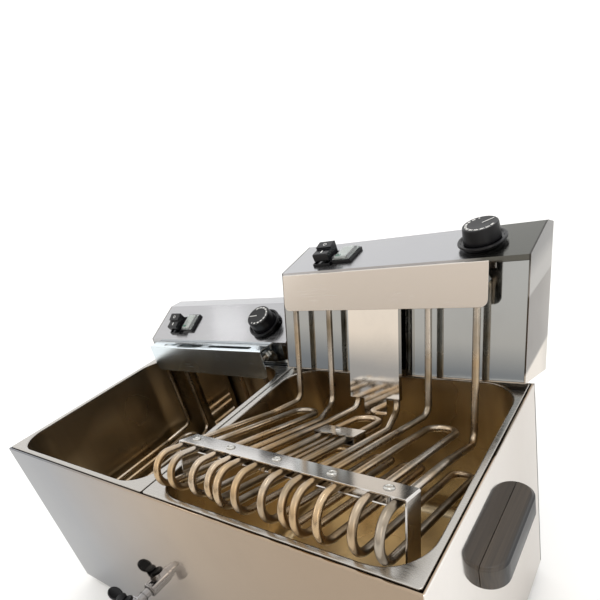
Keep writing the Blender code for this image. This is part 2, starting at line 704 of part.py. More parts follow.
def guard_plate(name):
    """Channel that covers the middle risers and the capillaries, hung from the head's front wall."""
    x0, x1 = -0.0365, 0.0228
    y0, y1, thick = 0.1146, 0.1212, 0.0008
    line = [(x0, y1), (x0, y0), (x1, y0), (x1, y1)]
    obj = piece(name, prism(bent_sheet(line, -thick), 0.124, 0.2680), (MIRROR_STEEL, 1.0, 0.08))
    tab = box(-0.015, 0.0, y0 + 0.0002, PANEL_Y - 0.0002, 0.2672, 0.2680)
    foot = box(-0.015, 0.0, PANEL_Y - 0.001, PANEL_Y - 0.0002, 0.2672, 0.2708)
    combine(obj, [tab, foot], "UNION")
    notches = [box(x - 0.010, x + 0.010, 0.11, 0.13, 0.12, GUARD_NOTCH_Z) for x in riser_xs()[2:4]]
    return combine(obj, notches, "DIFFERENCE")


def bulb_clip(name):
    """Folded clip over the middle tubes that holds both sensing bulbs."""
    top = UPPER_Z + TUBE_R + GAP
    low = UPPER_Z - TUBE_R - GAP
    line = [(-0.0265, top - 0.004), (-0.0265, top + 0.0012), (0.0190, top + 0.0012), (0.0190, low - 0.0012),
            (0.0045, low - 0.0012)]
    obj = piece(name, prism(bent_sheet(line, 0.0012), 0.029, 0.051, along_y), (STEEL, 1.0, 0.3))
    screw = turned([(0, top + 0.0004), (0.0026, top + 0.0004), (0.0026, top + 0.0024), (0.0018, top + 0.003),
                    (0, top + 0.003)], 8)
    moved(screw, Matrix.Translation((ELEMENT_MID, 0.040, 0)))
    return combine(obj, [screw], "UNION")


def sensing_bulb(x, name):
    """Thermostat capillary and bulb: out of the head, down the guard, under the turn, along the tubes."""
    dip = 0.1095
    path = fillet([(x, 0.150, OUTLET_Z), (x, RISER_Y, OUTLET_Z), (x, RISER_Y, dip), (x, 0.072, dip),
                   (x, 0.062, UPPER_Z), (x, -0.068, UPPER_Z)], [0, 0.008, 0.008, 0.01, 0.01, 0], 2)
    return piece(name, swept(path, CAPILLARY_R, 6), (STEEL, 1.0, 0.3), smooth=True)


def knob_bezel(name):
    bm = ring_solid([(0.0050, 0.0002), (0.0188, 0.0002), (0.0192, 0.0030), (0.0228, 0.0036),
                     (BEZEL_R, 0.0044), (BEZEL_R, 0.0056), (0.0222, 0.0064), (0.0204, 0.0064),
                     (0.0192, 0.0046), (0.0050, 0.0046)], 24)
    return piece(name, on_panel(bm, KNOB_X, KNOB_S), (BLACK, 0.0, 0.35), smooth=True)


def knob(name, angle):
    """Turn knob with a raised pointer line at an angle, and the shaft that enters the thermostat."""
    bm = turned([(0, 0.0052), (0.0172, 0.0052), (0.0176, 0.0062), (KNOB_R, KNOB_TOP - 0.0012),
                 (KNOB_R - 0.0012, KNOB_TOP), (0, KNOB_TOP)], 24)
    obj = piece(name, on_panel(bm, KNOB_X, KNOB_S), (BLACK, 0.0, 0.4), smooth=True)
    shaft = turned([(0, -0.016), (SHAFT_R, -0.016), (SHAFT_R, 0.007), (0, 0.007)], 20)
    on_panel(shaft, KNOB_X, KNOB_S)
    line = moved(box(0.002, 0.0142, -0.0006, 0.0006, KNOB_TOP - 0.0006, KNOB_TOP + 0.0003),
                 Matrix.Rotation(angle, 4, "Z"))
    pointer = on_panel(line, KNOB_X, KNOB_S)
    return combine(obj, [shaft, pointer], "UNION")


def thermostat(name):
    """Thermostat body under the panel, with the bore that guides the knob's shaft."""
    bm = box(-0.020, 0.020, -0.017, 0.017, -0.030, -SHEET - GAP)
    obj = piece(name, on_panel(bm, KNOB_X, KNOB_S), (DARK, 0.0, 0.5))
    neck = on_panel(turned([(0, -0.01), (0.0046, -0.01), (0.0046, 0.0030), (0, 0.0030)], 12), KNOB_X, KNOB_S)
    combine(obj, [neck], "UNION")
    bore = on_panel(prism(disc_outline(SHAFT_R + RUNNING, 20), -0.018, 0.01), KNOB_X, KNOB_S)
    return combine(obj, [bore], "DIFFERENCE")


def switch_frame(name):
    """Rocker switch housing: collar on the panel, contact block below it, well for the rocker."""
    bm = box(-ROCKER_W / 2, ROCKER_W / 2, -SWITCH_LEN / 2, SWITCH_LEN / 2, 0.0002, 0.0030)
    obj = piece(name, on_panel(bm, ROCKER_X, ROCKER_S), (BLACK, 0.0, 0.4))
    block = on_panel(box(-0.0069, 0.0069, -0.0132, 0.0132, -0.022, 0.001), ROCKER_X, ROCKER_S)
    combine(obj, [block], "UNION")
    well = on_panel(box(-0.0061, 0.0061, -0.0122, 0.0122, -0.012, 0.01), ROCKER_X, ROCKER_S)
    combine(obj, [well], "DIFFERENCE")
    pins = []
    for side in (-1, 1):
        pin = moved(prism(disc_outline(0.0012, 12), -0.0006, 0.0006, along_x),
                    Matrix.Translation((side * 0.0060, 0, -0.004)))
        pins.append(on_panel(pin, ROCKER_X, ROCKER_S))
    return combine(obj, pins, "UNION")


def rocker(name):
    """Rocker button on a cross pivot, its front end pressed, with a step up to its rear half."""
    stem = [(-0.0108, -0.002), (-0.0108, 0.0060), (0.0098, 0.0085), (0.0098, -0.002), (0.0040, -0.0065),
            (-0.0040, -0.0065)]
    obj = piece(name, on_panel(prism(stem, -0.0050, 0.0050, along_x), ROCKER_X, ROCKER_S), (BLACK, 0.0, 0.3))
    cap = [(-0.0117, 0.0040), (-0.0122, 0.0120), (-0.0112, 0.0132), (-0.0004, 0.0139), (-0.0010, 0.0164),
           (0.0100, 0.0184), (0.0114, 0.0178), (0.0113, 0.0070)]
    half_w = ROCKER_CAP_W / 2
    combine(obj, [on_panel(prism(cap, -half_w, half_w, along_x), ROCKER_X, ROCKER_S)], "UNION")
    bore = prism(disc_outline(0.0012 + RUNNING, 12, (0.0, -0.004)), -0.006, 0.006, along_x)
    return combine(obj, [on_panel(bore, ROCKER_X, ROCKER_S)], "DIFFERENCE")


def lamp_frame(name):
    half_w, half_l = LAMP_W / 2, SWITCH_LEN / 2
    bm = box(-half_w, half_w, -half_l, half_l, 0.0002, 0.0032)
    obj = piece(name, on_panel(bm, LAMP_X, LAMP_S), (BLACK, 0.0, 0.35))
    block = on_panel(box(-0.0102, 0.0102, -0.0127, 0.0127, -0.018, 0.001), LAMP_X, LAMP_S)
    combine(obj, [block], "UNION")
    well = on_panel(box(-0.0092, 0.0092, -0.0118, 0.0118, -0.014, 0.01), LAMP_X, LAMP_S)
    return combine(obj, [well], "DIFFERENCE")


def lamp_lens(name):
    """Clear rectangular lens with sloping edges, its stem held in the frame's well."""
    bm = bmesh.new()
    rings = []
    for w, l, z in ((0.0112, 0.0142, 0.0035), (0.0112, 0.0142, 0.0046), (0.0088, 0.0118, 0.0072)):
        rings.append([bm.verts.new((sx * w, sy * l, z)) for sx, sy in ((-1, -1), (1, -1), (1, 1), (-1, 1))])
    for a, b in zip(rings, rings[1:]):
        for i in range(4):
            bm.faces.new((a[i], a[(i + 1) % 4], b[(i + 1) % 4], b[i]))
    bm.faces.new(rings[0])
    bm.faces.new(rings[-1])
    obj = piece(name, on_panel(bm, LAMP_X, LAMP_S), (LENS, 0.0, 0.1))
    stem = on_panel(box(-0.0088, 0.0088, -0.0114, 0.0114, -0.010, 0.0038), LAMP_X, LAMP_S)
    return combine(obj, [stem], "UNION")


def cable_gland(name):
    """Cable entry in the head's back wall, blind because no cord is fitted."""
    place = Matrix.Translation((0.095, HEAD_BACK_Y, 0.192)) @ Matrix.Rotation(math.radians(-90), 4, "X")
    bm = turned([(0, -0.0130), (0.0084, -0.0130), (0.0084, 0.0003), (0.0120, 0.0003), (0.0120, 0.0045),
                 (0.0095, 0.0052), (0.0072, 0.0140), (0.0048, 0.0140), (0.0044, 0.0125), (0, 0.0125)], 14)
    return piece(name, moved(bm, place), (BLACK, 0.0, 0.5), smooth=True)


def head(prefix):
    """All pieces of one head, still in its working place about x = 0."""
    made = [control_cover(f"{prefix}_control_cover"), head_tray(f"{prefix}_head_tray"),
            front_wall(f"{prefix}_front_wall"), deflector(f"{prefix}_deflector")]
    for k in range(3):
        made.append(heating_element(k, f"{prefix}_element_{k + 1}"))
    made += [element_clamp(f"{prefix}_element_clamp"), guard_plate(f"{prefix}_guard_plate"),
             bulb_clip(f"{prefix}_bulb_clip")]
    for x, kind in zip(capillary_xs(), ("thermostat_bulb", "limiter_bulb")):
        made.append(sensing_bulb(x, f"{prefix}_{kind}"))
    made += [knob_bezel(f"{prefix}_knob_bezel"), knob(f"{prefix}_knob", POINTER_ANGLE[prefix]),
             thermostat(f"{prefix}_thermostat"),
             switch_frame(f"{prefix}_switch_frame"), rocker(f"{prefix}_rocker"),
             lamp_frame(f"{prefix}_lamp_frame"), lamp_lens(f"{prefix}_lamp_lens"),
             cable_gland(f"{prefix}_cable_gland")]
    return made


def head_place(side):
    """Where a head stands: the left one works in its tank, the right one is lifted, tipped back to drain."""
    across = Matrix.Translation((side * TANK_X, 0, 0))
    if side < 0:
        return across
    pivot = Matrix.Translation((0, PANEL_Y, PANEL_Z))
    tip = Matrix.Rotation(-HEAD_TILT, 4, "X")
    lift = Matrix.Translation((0, HEAD_SHIFT_Y, HEAD_SHIFT_Z))
    return across @ lift @ pivot @ tip @ pivot.inverted()


def set_origin(obj, point):
    obj.data.transform(Matrix.Translation(-Vector(point)))
    obj.location = point


def place_head(prefix, side):
    pieces = head(prefix)
    place = head_place(side)
    pivot = (side * TANK_X, DEPTH / 2, FLANGE_Z + GAP)
    on_slope = slope_frame()
    own = {f"{prefix}_knob": place @ on_slope @ Vector((KNOB_X, KNOB_S, 0.0)),
           f"{prefix}_rocker": place @ on_slope @ Vector((ROCKER_X, ROCKER_S, -0.004))}
    for obj in pieces:
        obj.data.transform(place)
        set_origin(obj, own.get(obj.name, pivot))


def build():
    clear_scene()
    housing_shell()
    rear_panel()
    base_plate()
    feet()
    for side, prefix in ((-1, "left"), (1, "right")):
        tank(side, f"{prefix}_tank")
        side_handle(side, f"{prefix}_handle")
        tap_body(side, f"{prefix}_tap_body")
        for moving in (tap_ball(side, f"{prefix}_tap_ball"), tap_handle(side, f"{prefix}_tap_handle")):
            set_origin(moving, (side * TANK_X + TAP_SHIFT_X, TAP_BODY_Y, TAP_Z))
        place_head(prefix, side)
    for obj in bpy.data.collections[PARTS].objects:
        obj.location.y += ORIGIN_SHIFT_Y


build()
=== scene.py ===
"""Looks of the countertop double-tank deep fryer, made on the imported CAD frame."""
import json
import math

import bmesh
import bpy
from mathutils import Matrix, Vector

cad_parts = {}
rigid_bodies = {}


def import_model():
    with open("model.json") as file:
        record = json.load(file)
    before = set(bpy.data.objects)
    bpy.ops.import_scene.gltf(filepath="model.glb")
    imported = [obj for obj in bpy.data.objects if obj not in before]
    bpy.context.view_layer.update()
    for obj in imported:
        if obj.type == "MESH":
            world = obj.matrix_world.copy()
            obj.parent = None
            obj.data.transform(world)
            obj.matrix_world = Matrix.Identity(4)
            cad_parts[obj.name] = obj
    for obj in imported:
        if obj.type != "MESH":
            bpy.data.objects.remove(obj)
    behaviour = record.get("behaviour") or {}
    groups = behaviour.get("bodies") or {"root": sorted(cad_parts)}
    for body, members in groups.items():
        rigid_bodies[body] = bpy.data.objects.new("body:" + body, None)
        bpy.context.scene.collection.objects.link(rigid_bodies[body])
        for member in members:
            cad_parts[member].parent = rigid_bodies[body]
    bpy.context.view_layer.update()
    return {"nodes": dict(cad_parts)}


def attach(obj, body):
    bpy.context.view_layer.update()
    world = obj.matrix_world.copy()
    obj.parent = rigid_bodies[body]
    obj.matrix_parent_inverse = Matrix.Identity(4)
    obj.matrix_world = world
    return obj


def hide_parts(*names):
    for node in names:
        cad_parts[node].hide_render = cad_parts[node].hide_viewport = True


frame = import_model()

# The CAD model's own sizes (metres), the housing centred on x and on HOME_Y
HOME_Y = -0.0205
WIDTH, DEPTH, RIM_Z, FOOT_H, SHEET, GAP = 0.580, 0.265, 0.248, 0.012, 0.0012, 0.0003
RIM_FOLD, RIM_DROP, SHELF, REAR_SEAM_Y = 0.0025, 0.0085, 0.0036, 0.1297
TANK_X, TANK_HALF_X, TANK_HALF_Y, TANK_Y, TANK_R = 0.145, 0.136, 0.125, 0.0016, 0.038
TANK_FLOOR_Z, FLANGE_Z, FLANGE_IN, FLANGE_OUT, FLANGE_Y = 0.0632, 0.2492, 0.0009, 0.2868, 0.1293
FLANGE_LOW_Z, LIP_R, PAN_WALL, PAN_BEND_Z, PAN_BEND_IN = 0.2402, 0.0016, 0.0012, 0.088, 0.0168
DRAIN_Y, DRAIN_R, TAP_HOLE_R, FOOT_X, FOOT_Y = -0.092, 0.0068, 0.0075, 0.245, 0.092
PANEL_Y, PANEL_Z, PANEL_SLOPE = 0.134, 0.2815, math.radians(28.35)
HEAD_BACK_Y = 0.2155
HEAD_TILT, HEAD_SHIFT_Y, HEAD_SHIFT_Z = math.radians(18.2), 0.018, 0.0846
DEFLECTOR_Y, DEFLECTOR_X0, DEFLECTOR_X1 = 0.1125, -0.1225, 0.1115
DEFLECTOR_Z0, DEFLECTOR_Z1, DEFLECTOR_R = 0.2375, 0.2785, 0.007
TUBE_R, ELEMENT_PITCH, ELEMENT_MID = 0.0035, 0.0822, -0.0055
RISER_HALF, TUBE_OUTER, TUBE_INNER = 0.0235, 0.035, 0.0145
RISER_Y, OUTLET_Y, OUTLET_Z, UPPER_Z = 0.1190, 0.1345, 0.262, 0.1215
LOWER_ZS = (0.0898, 0.0865, 0.0835)
FRONT_BEND_Y, UPPER_TURN_Y, LOWER_TURN_Y = -0.0747, 0.091, 0.080
LEG_BEND_Z, LEG_KINK_Y, LAST_LEG_BEND_Z, LAST_LEG_KINK_Y = 0.130, 0.076, 0.105, 0.018
CAPILLARY_R, CAPILLARY_DIP_Z, BULB_SPACING = 0.0017, 0.1095, 0.004
CLAMP_X0, CLAMP_X1, CLAMP_Y0, CLAMP_Y1, CLAMP_SKEW = -0.1278, 0.1205, -0.0580, -0.0360, -0.0135
CLAMP_FOOT_Z, CLAMP_SHEET, CLAMP_BEND_R = 0.0735, 0.0015, 0.0022
RIVET_XS = (-0.1125, -0.063, -0.0055, 0.052, 0.1015)
KNOB_X, KNOB_S, KNOB_TOP = 0.0912, 0.0285, 0.0207
ROCKER_X, ROCKER_S, ROCKER_W, SWITCH_LEN = -0.0887, 0.026, 0.0228, 0.032
LAMP_X, LAMP_S, LAMP_W = -0.064, 0.0305, 0.026
HANDLE_Y, HANDLE_TOP_Z, HANDLE_T, HANDLE_R, HANDLE_HALF = 0.0065, 0.1860, 0.0235, 0.0184, 0.0370
TAP_Z, TAP_BODY_Y, TAP_SHIFT_X, SPOUT_Y, SPOUT_LIP_Z = 0.043, -0.157, 0.022, -0.034, -0.0239
GLAND_X, GLAND_Z = 0.095, 0.192
SIDES = {"left": -1, "right": 1}
KNOB_TURN = {"left": 187.0, "right": 45.0}

# Numbers printed round a dial, the first one's angle and the step (degrees), and how high print stands
DIAL_NUMBERS = (0, *range(60, 121, 20), *range(130, 181, 10))
DIAL_START, DIAL_STEP, DIAL_R, PRINT = 64, 23.2, 0.0131, 0.00012

# Where the steel's painted reflections, painted highlights and painted shade change, at rest
FRONT_REFLECTION_X, FLANK_REFLECTION_Y, REAR_DARK_REFLECTION = (-0.20, 0.04), (-0.12, 0.05), 0.0035
PANEL_DARK_REFLECTION_X, SHIELD_REFLECTION_Z = (0.215, 0.245), (0.285, 0.315)
CHEEK_PAINTED_BAND_Z, CHEEK_REAR_SHADE_Y = (0.262, 0.266), (0.150, 0.205)
CHEEK_PAINTED_GREY_Z, CHEEK_PAINTED_DARK_Z = (0.330, 0.332), (0.345, 0.362)
TANK_HIGHLIGHT_Z, TANK_TOP_Z, TANK_SHADE_X = (TANK_FLOOR_Z + 0.025, 0.165), (0.235, 0.275), (-0.13, -0.03)

# The photograph's viewing angle
CAMERA_AT, CAMERA_TURN = (0.3988, -0.3092 + HOME_Y, 0.504), (62.267, 14.503, 35.840)
CAMERA_LENS, CAMERA_SHIFT = 29.65, (0.011, 0.164)


# Materials

class Look:
    """A Principled material with helpers that add procedural detail to it."""

    def __init__(self, name, base, metallic, rough, **constants):
        self.mat = bpy.data.materials.new(name)
        self.mat.use_nodes = True
        self.tree = self.mat.node_tree
        self.shader = self.tree.nodes["Principled BSDF"]
        self.shader.inputs["Base Color"].default_value = (*base, 1.0)
        self.shader.inputs["Metallic"].default_value = metallic
        self.shader.inputs["Roughness"].default_value = rough
        for key, value in constants.items():
            self.shader.inputs[key.replace("_", " ")].default_value = value
        self.coord = self.node("ShaderNodeTexCoord").outputs["Object"]

    def node(self, kind, **props):
        made = self.tree.nodes.new(kind)
        for key, value in props.items():
            setattr(made, key, value)
        return made

    def put(self, socket, value):
        if isinstance(value, bpy.types.NodeSocket):
            self.tree.links.new(value, socket)
        else:
            socket.default_value = value

    def noise(self, scale, size=1.0, detail=3.0, rough=0.55, offset=(0, 0, 0)):
        """Noise factor; scale is one number, or three to stretch the grain."""
        spread = scale if isinstance(scale, tuple) else (scale, scale, scale)
        place = self.node("ShaderNodeMapping")
        place.inputs["Scale"].default_value = spread
        place.inputs["Location"].default_value = offset
        self.put(place.inputs["Vector"], self.coord)
        tex = self.node("ShaderNodeTexNoise")
        tex.inputs["Scale"].default_value = size
        tex.inputs["Detail"].default_value = detail
        tex.inputs["Roughness"].default_value = rough
        self.put(tex.inputs["Vector"], place.outputs["Vector"])
        return tex.outputs["Fac"]

    def ramp(self, fac, low, high, out_low=0.0, out_high=1.0):
        """Clamp fac between low and high and spread it over out_low to out_high."""
        made = self.node("ShaderNodeMapRange", clamp=True)
        for key, value in zip(("Value", "From Min", "From Max", "To Min", "To Max"),
                              (fac, low, high, out_low, out_high)):
            self.put(made.inputs[key], value)
        return made.outputs["Result"]

    def mix(self, fac, one, two, how="MIX"):
        made = self.node("ShaderNodeMix", data_type="RGBA", blend_type=how)
        self.put(made.inputs[0], fac)
        for socket, value in ((made.inputs[6], one), (made.inputs[7], two)):
            self.put(socket, (*value, 1.0) if isinstance(value, tuple) else value)
        return made.outputs[2]

    def maths(self, operation, one, two):
        made = self.node("ShaderNodeMath", operation=operation)
        self.put(made.inputs[0], one)
        self.put(made.inputs[1], two)
        return made.outputs[0]

    def axis(self, index):
        split = self.node("ShaderNodeSeparateXYZ")
        self.put(split.inputs[0], self.coord)
        return split.outputs[index]

    def worn_edges(self, low=0.505, high=0.56):
        """1 along convex edges, 0 on flats."""
        return self.ramp(self.node("ShaderNodeNewGeometry").outputs["Pointiness"], low, high)

    def bump(self, height, distance, strength=1.0, after=None):
        made = self.node("ShaderNodeBump")
        made.inputs["Distance"].default_value = distance
        made.inputs["Strength"].default_value = strength
        self.put(made.inputs["Height"], height)
        if after is not None:
            self.put(made.inputs["Normal"], after)
        self.put(self.shader.inputs["Normal"], made.outputs["Normal"])
        return made.outputs["Normal"]

    def colour(self, value):
        self.put(self.shader.inputs["Base Color"], value)

    def rough(self, value):
        self.put(self.shader.inputs["Roughness"], value)

    def brushing(self, spread):
        """Anisotropic shine across fine grinding lines that run along x."""
        turn = self.node("ShaderNodeTangent", direction_type="RADIAL", axis="X")
        self.put(self.shader.inputs["Tangent"], turn.outputs[0])
        self.shader.inputs["Anisotropic"].default_value = spread
        return self.noise((14.0, 3600.0, 3600.0), detail=2.0)


def polished(name, base, haze=0.0, tone=None):
    """Mirror-polished sheet: slight waviness, polishing haze and a wiped film that darkens it."""
    look = Look(name, base, 1.0, 0.06)
    smudge = look.ramp(look.noise((14.0, 14.0, 9.0), detail=6.0, rough=0.65), 0.48, 0.72)
    lines = look.noise((9.0, 1400.0, 1400.0), detail=2.0)
    fine = look.ramp(lines, 0.3, 0.7, 0.025 + haze, 0.055 + haze)
    look.rough(look.maths("ADD", fine, look.maths("MULTIPLY", smudge, 0.06)))
    # tone, where given, paints reflections into the base colour
    clean = tone(look) if tone else base
    look.colour(look.mix(look.maths("MULTIPLY", smudge, 0.5), clean, (0.90, 0.90, 0.90), "MULTIPLY"))
    wave = look.bump(look.noise(5.0, detail=1.0), 0.0016, 0.3)
    look.bump(lines, 0.00001, 0.2, wave)
    return look.mat


def housing_tone(look):
    """Painted reflections on the housing steel: the front cooler to the left and warmer to the right, the
    flanks paler in front, and a dark painted reflection along the rear fold.
    """
    across, along = look.axis(0), look.axis(1)
    # painted reflection across the front: cool on the left, warm on the right
    front = look.mix(look.ramp(across, *FRONT_REFLECTION_X), (0.155, 0.16, 0.175), (0.345, 0.265, 0.19))
    flank_reflection = look.mix(look.ramp(along, *FLANK_REFLECTION_Y), (0.78, 0.75, 0.72), (0.50, 0.455, 0.41))
    # painted dark reflection in the rounded rear fold
    fold = DEPTH / 2 + HOME_Y - REAR_DARK_REFLECTION
    flank_reflection = look.mix(look.ramp(along, fold, fold + 0.001), flank_reflection, (0.06, 0.055, 0.05))
    edge = WIDTH / 2 - 0.0015
    out = look.maths("ABSOLUTE", across, 0.0)
    return look.mix(look.ramp(out, edge, edge + 0.001), front, flank_reflection)


def brushed(name, base, rough, spread, high=None, tone=None):
    """Brushed sheet: grinding lines along x, light scuffs, a second colour high up as a painted warm
    reflection, and painted reflections and shade from tone.
    """
    look = Look(name, base, 1.0, rough)
    lines = look.brushing(spread)
    scuff = look.ramp(look.noise((22.0, 40.0, 40.0), detail=5.0, rough=0.7), 0.52, 0.75)
    shade = look.mix(look.ramp(lines, 0.32, 0.68), tuple(c * 0.93 for c in base), base)
    if high:
        # painted warm reflection: the sheet turns to the colour high above the given height
        shade = look.mix(look.ramp(look.axis(2), *SHIELD_REFLECTION_Z), shade, high)
    if tone:
        # tone paints reflections and shade into the colour
        shade = tone(look, shade)
    look.colour(shade)
    base_rough = look.ramp(lines, 0.3, 0.7, rough - 0.05, rough + 0.06)
    look.rough(look.maths("ADD", base_rough, look.maths("MULTIPLY", scuff, 0.03)))
    wave = look.bump(look.noise(5.0, detail=1.0), 0.0006, 0.3)
    look.bump(lines, 0.000012, 0.3, wave)
    return look.mat


def panel_tone(look, shade):
    """Painted dark reflection over the far end of the right panel."""
    far = look.ramp(look.axis(0), *PANEL_DARK_REFLECTION_X, 0.0, 0.9)
    return look.mix(far, shade, (0.075, 0.075, 0.062))


def head_side_tone(look, shade):
    """Tray cheek with painted reflections and shade: pale at the foot, a dark warm band, painted shade
    towards the rear, grey above it, and dark near the panel.
    """
    height = look.axis(2)
    warm = look.mix(look.ramp(height, *CHEEK_PAINTED_BAND_Z), (0.62, 0.56, 0.49), (0.070, 0.054, 0.040))
    # painted shade, darker towards the rear
    rear = look.ramp(look.axis(1), *CHEEK_REAR_SHADE_Y, 0.0, 0.7)
    warm = look.mix(rear, warm, (0.14, 0.118, 0.095))
    grey = look.mix(look.ramp(height, *CHEEK_PAINTED_GREY_Z), warm, (0.24, 0.225, 0.21))
    return look.mix(look.ramp(height, *CHEEK_PAINTED_DARK_Z), grey, (0.06, 0.056, 0.052))


def tank_steel():
    """Drawn pan: bright rim, a painted golden highlight low on the floor, browned walls with drips, dark
    painted reflections at random, and painted shade over the left tank.
    """
    look = Look("tank_steel", (0.52, 0.46, 0.36), 1.0, 0.3)
    height = look.axis(2)
    inside = look.ramp(height, FLANGE_Z - 0.0035, FLANGE_Z - 0.0012, 1.0, 0.0)
    blotch = look.noise((7.0, 7.0, 10.0), detail=2.0, rough=0.4)
    level = look.maths("ADD", height, look.maths("MULTIPLY", blotch, 0.07))
    # painted golden highlight low in the pan
    low = look.ramp(level, *TANK_HIGHLIGHT_Z, 1.0, 0.0)
    top = look.ramp(level, *TANK_TOP_Z, 0.0, 0.6)
    drips = look.ramp(look.noise((80.0, 80.0, 6.0), detail=2.0), 0.5, 0.8, 0.0, 0.22)
    warm = look.mix(low, (0.60, 0.48, 0.31), (1.0, 0.83, 0.54))
    warm = look.mix(top, warm, (0.60, 0.52, 0.40))
    warm = look.mix(drips, warm, (0.20, 0.16, 0.10))
    # painted dark reflections: dark patches placed at random
    cloud = look.noise((9.0, 9.0, 14.0), detail=1.0, rough=0.4, offset=(2.0, 5.0, 1.0))
    warm = look.mix(look.ramp(cloud, 0.42, 0.66, 0.0, 0.75), warm, (0.20, 0.15, 0.09))
    # painted shade: the left tank darker than the right
    warm = look.mix(look.ramp(look.axis(0), *TANK_SHADE_X, 0.5, 0.0), warm, (0.12, 0.095, 0.06))
    look.colour(look.mix(inside, (0.42, 0.40, 0.37), warm))
    satin = look.ramp(blotch, 0.3, 0.7, 0.24, 0.34)
    rim = look.ramp(look.noise((5.0, 900.0, 900.0)), 0.3, 0.7, 0.20, 0.30)
    pick = look.node("ShaderNodeMix", data_type="FLOAT")
    look.put(pick.inputs[0], inside)
    look.put(pick.inputs[2], rim)
    look.put(pick.inputs[3], satin)
    look.rough(pick.outputs[0])
    look.bump(look.noise(7.0, detail=1.0), 0.0012, 0.3)
    return look.mat


def tube_steel(name, base, dark, rough):
    """Element sheath: oil-browned patches and specks over grey oxide, with a fine matt grain."""
    look = Look(name, base, 1.0, rough)
    patch = look.noise(24.0, detail=3.0, rough=0.5)
    spots = look.ramp(look.noise(160.0, detail=3.0), 0.60, 0.78, 0.0, 0.35)
    tone = look.mix(look.ramp(patch, 0.36, 0.66), dark, base)
    oil = look.ramp(look.noise(13.0, offset=(3, 1, 2)), 0.45, 0.66, 0.0, 0.8)
    tone = look.mix(oil, tone, (0.48, 0.33, 0.175))
    look.colour(look.mix(spots, tone, tuple(c * 0.4 for c in dark)))
    look.rough(look.ramp(patch, 0.3, 0.7, rough + 0.06, rough - 0.05))
    look.bump(look.noise(900.0, detail=2.0), 0.00003, 0.3)
    return look.mat


def plastic(name, base, rough, grain=0.00006, scale=900.0, pale=1.5, **constants):
    """Moulded plastic with a fine eroded grain, handling sheen and paler edges."""
    look = Look(name, base, 0.0, rough, **constants)
    sheen = look.noise(55.0, detail=4.0, rough=0.6)
    tone = look.mix(look.ramp(sheen, 0.35, 0.7), base, tuple(min(1.0, c * 1.25) for c in base))
    look.colour(look.mix(look.maths("MULTIPLY", look.worn_edges(), 0.5), tone,
                         tuple(min(1.0, c * pale + 0.01) for c in base)))
    look.rough(look.ramp(sheen, 0.3, 0.72, rough - 0.06, rough + 0.08))
    look.bump(look.noise(scale, detail=2.0), grain, 0.6)
    return look.mat


def grip_plastic():
    """Black grip with painted light: browner along its middle, dark at its outer edge and a little darker by
    the wall, with fine streaks along its length.
    """
    look = Look("grip_plastic", (0.03, 0.027, 0.024), 0.0, 0.4)
    wall = WIDTH / 2
    out = look.maths("ABSOLUTE", look.axis(0), 0.0)
    rise = look.ramp(out, wall + 0.0008, wall + 0.0040, 1.0, 0.75)
    fall = look.ramp(out, wall + HANDLE_R - 0.005, wall + HANDLE_R - 0.001, 1.0, 0.0)
    streak = look.ramp(look.noise((900.0, 9.0, 60.0), detail=3.0), 0.3, 0.7, 0.45, 1.0)
    # painted light across the grip, times the real streaks
    lit_middle_streaks = look.maths("MULTIPLY", look.maths("MULTIPLY", rise, fall), streak)
    look.colour(look.mix(lit_middle_streaks, (0.008, 0.008, 0.009), (0.085, 0.066, 0.048)))
    look.rough(look.ramp(streak, 0.45, 1.0, 0.30, 0.48))
    look.bump(look.noise((900.0, 12.0, 90.0), detail=2.0), 0.00006, 0.5)
    return look.mat


def chrome(name, base, rough):
    """Plated or turned metal with dried water marks."""
    look = Look(name, base, 1.0, rough)
    water = look.ramp(look.noise(90.0, detail=5.0, rough=0.7), 0.5, 0.75)
    look.rough(look.maths("ADD", look.maths("MULTIPLY", water, 0.14), rough))
    look.colour(look.mix(water, base, tuple(c * 0.85 for c in base)))
    look.bump(look.noise(160.0, detail=2.0), 0.00005, 0.3)
    return look.mat


def lens_plastic():
    """Clear lamp cover, lightly frosted."""
    look = Look("lamp_clear", (0.88, 0.92, 0.90), 0.0, 0.12, IOR=1.49)
    look.shader.inputs["Transmission Weight"].default_value = 0.85
    frost = look.noise(320.0, detail=2.0)
    look.rough(look.ramp(frost, 0.3, 0.7, 0.08, 0.2))
    cloud = look.ramp(look.noise(60.0), 0.4, 0.7)
    look.colour(look.mix(cloud, (0.88, 0.92, 0.90), (0.80, 0.86, 0.85)))
    look.bump(frost, 0.00005, 0.3)
    return look.mat


def plain(name, base, rough, speck=0.88):
    """Printed or pressed part with fine specks, darker by the factor speck."""
    look = Look(name, base, 0.0, rough)
    specks = look.ramp(look.noise(400.0, detail=3.0), 0.4, 0.7)
    look.colour(look.mix(specks, base, tuple(c * speck for c in base)))
    look.bump(look.noise(700.0), 0.00003, 0.4)
    return look.mat


MIRROR = polished("mirror_steel", (0.60, 0.585, 0.57), tone=housing_tone)
MIRROR_HEAD = polished("mirror_head", (0.40, 0.425, 0.44), 0.01)
GUARD = polished("guard_steel", (0.80, 0.76, 0.71), 0.015)
HEAD_SIDE = brushed("head_side_steel", (0.36, 0.325, 0.285), 0.16, 0.5, tone=head_side_tone)
PANEL = brushed("panel_steel", (0.42, 0.42, 0.43), 0.17, 0.9, tone=panel_tone)
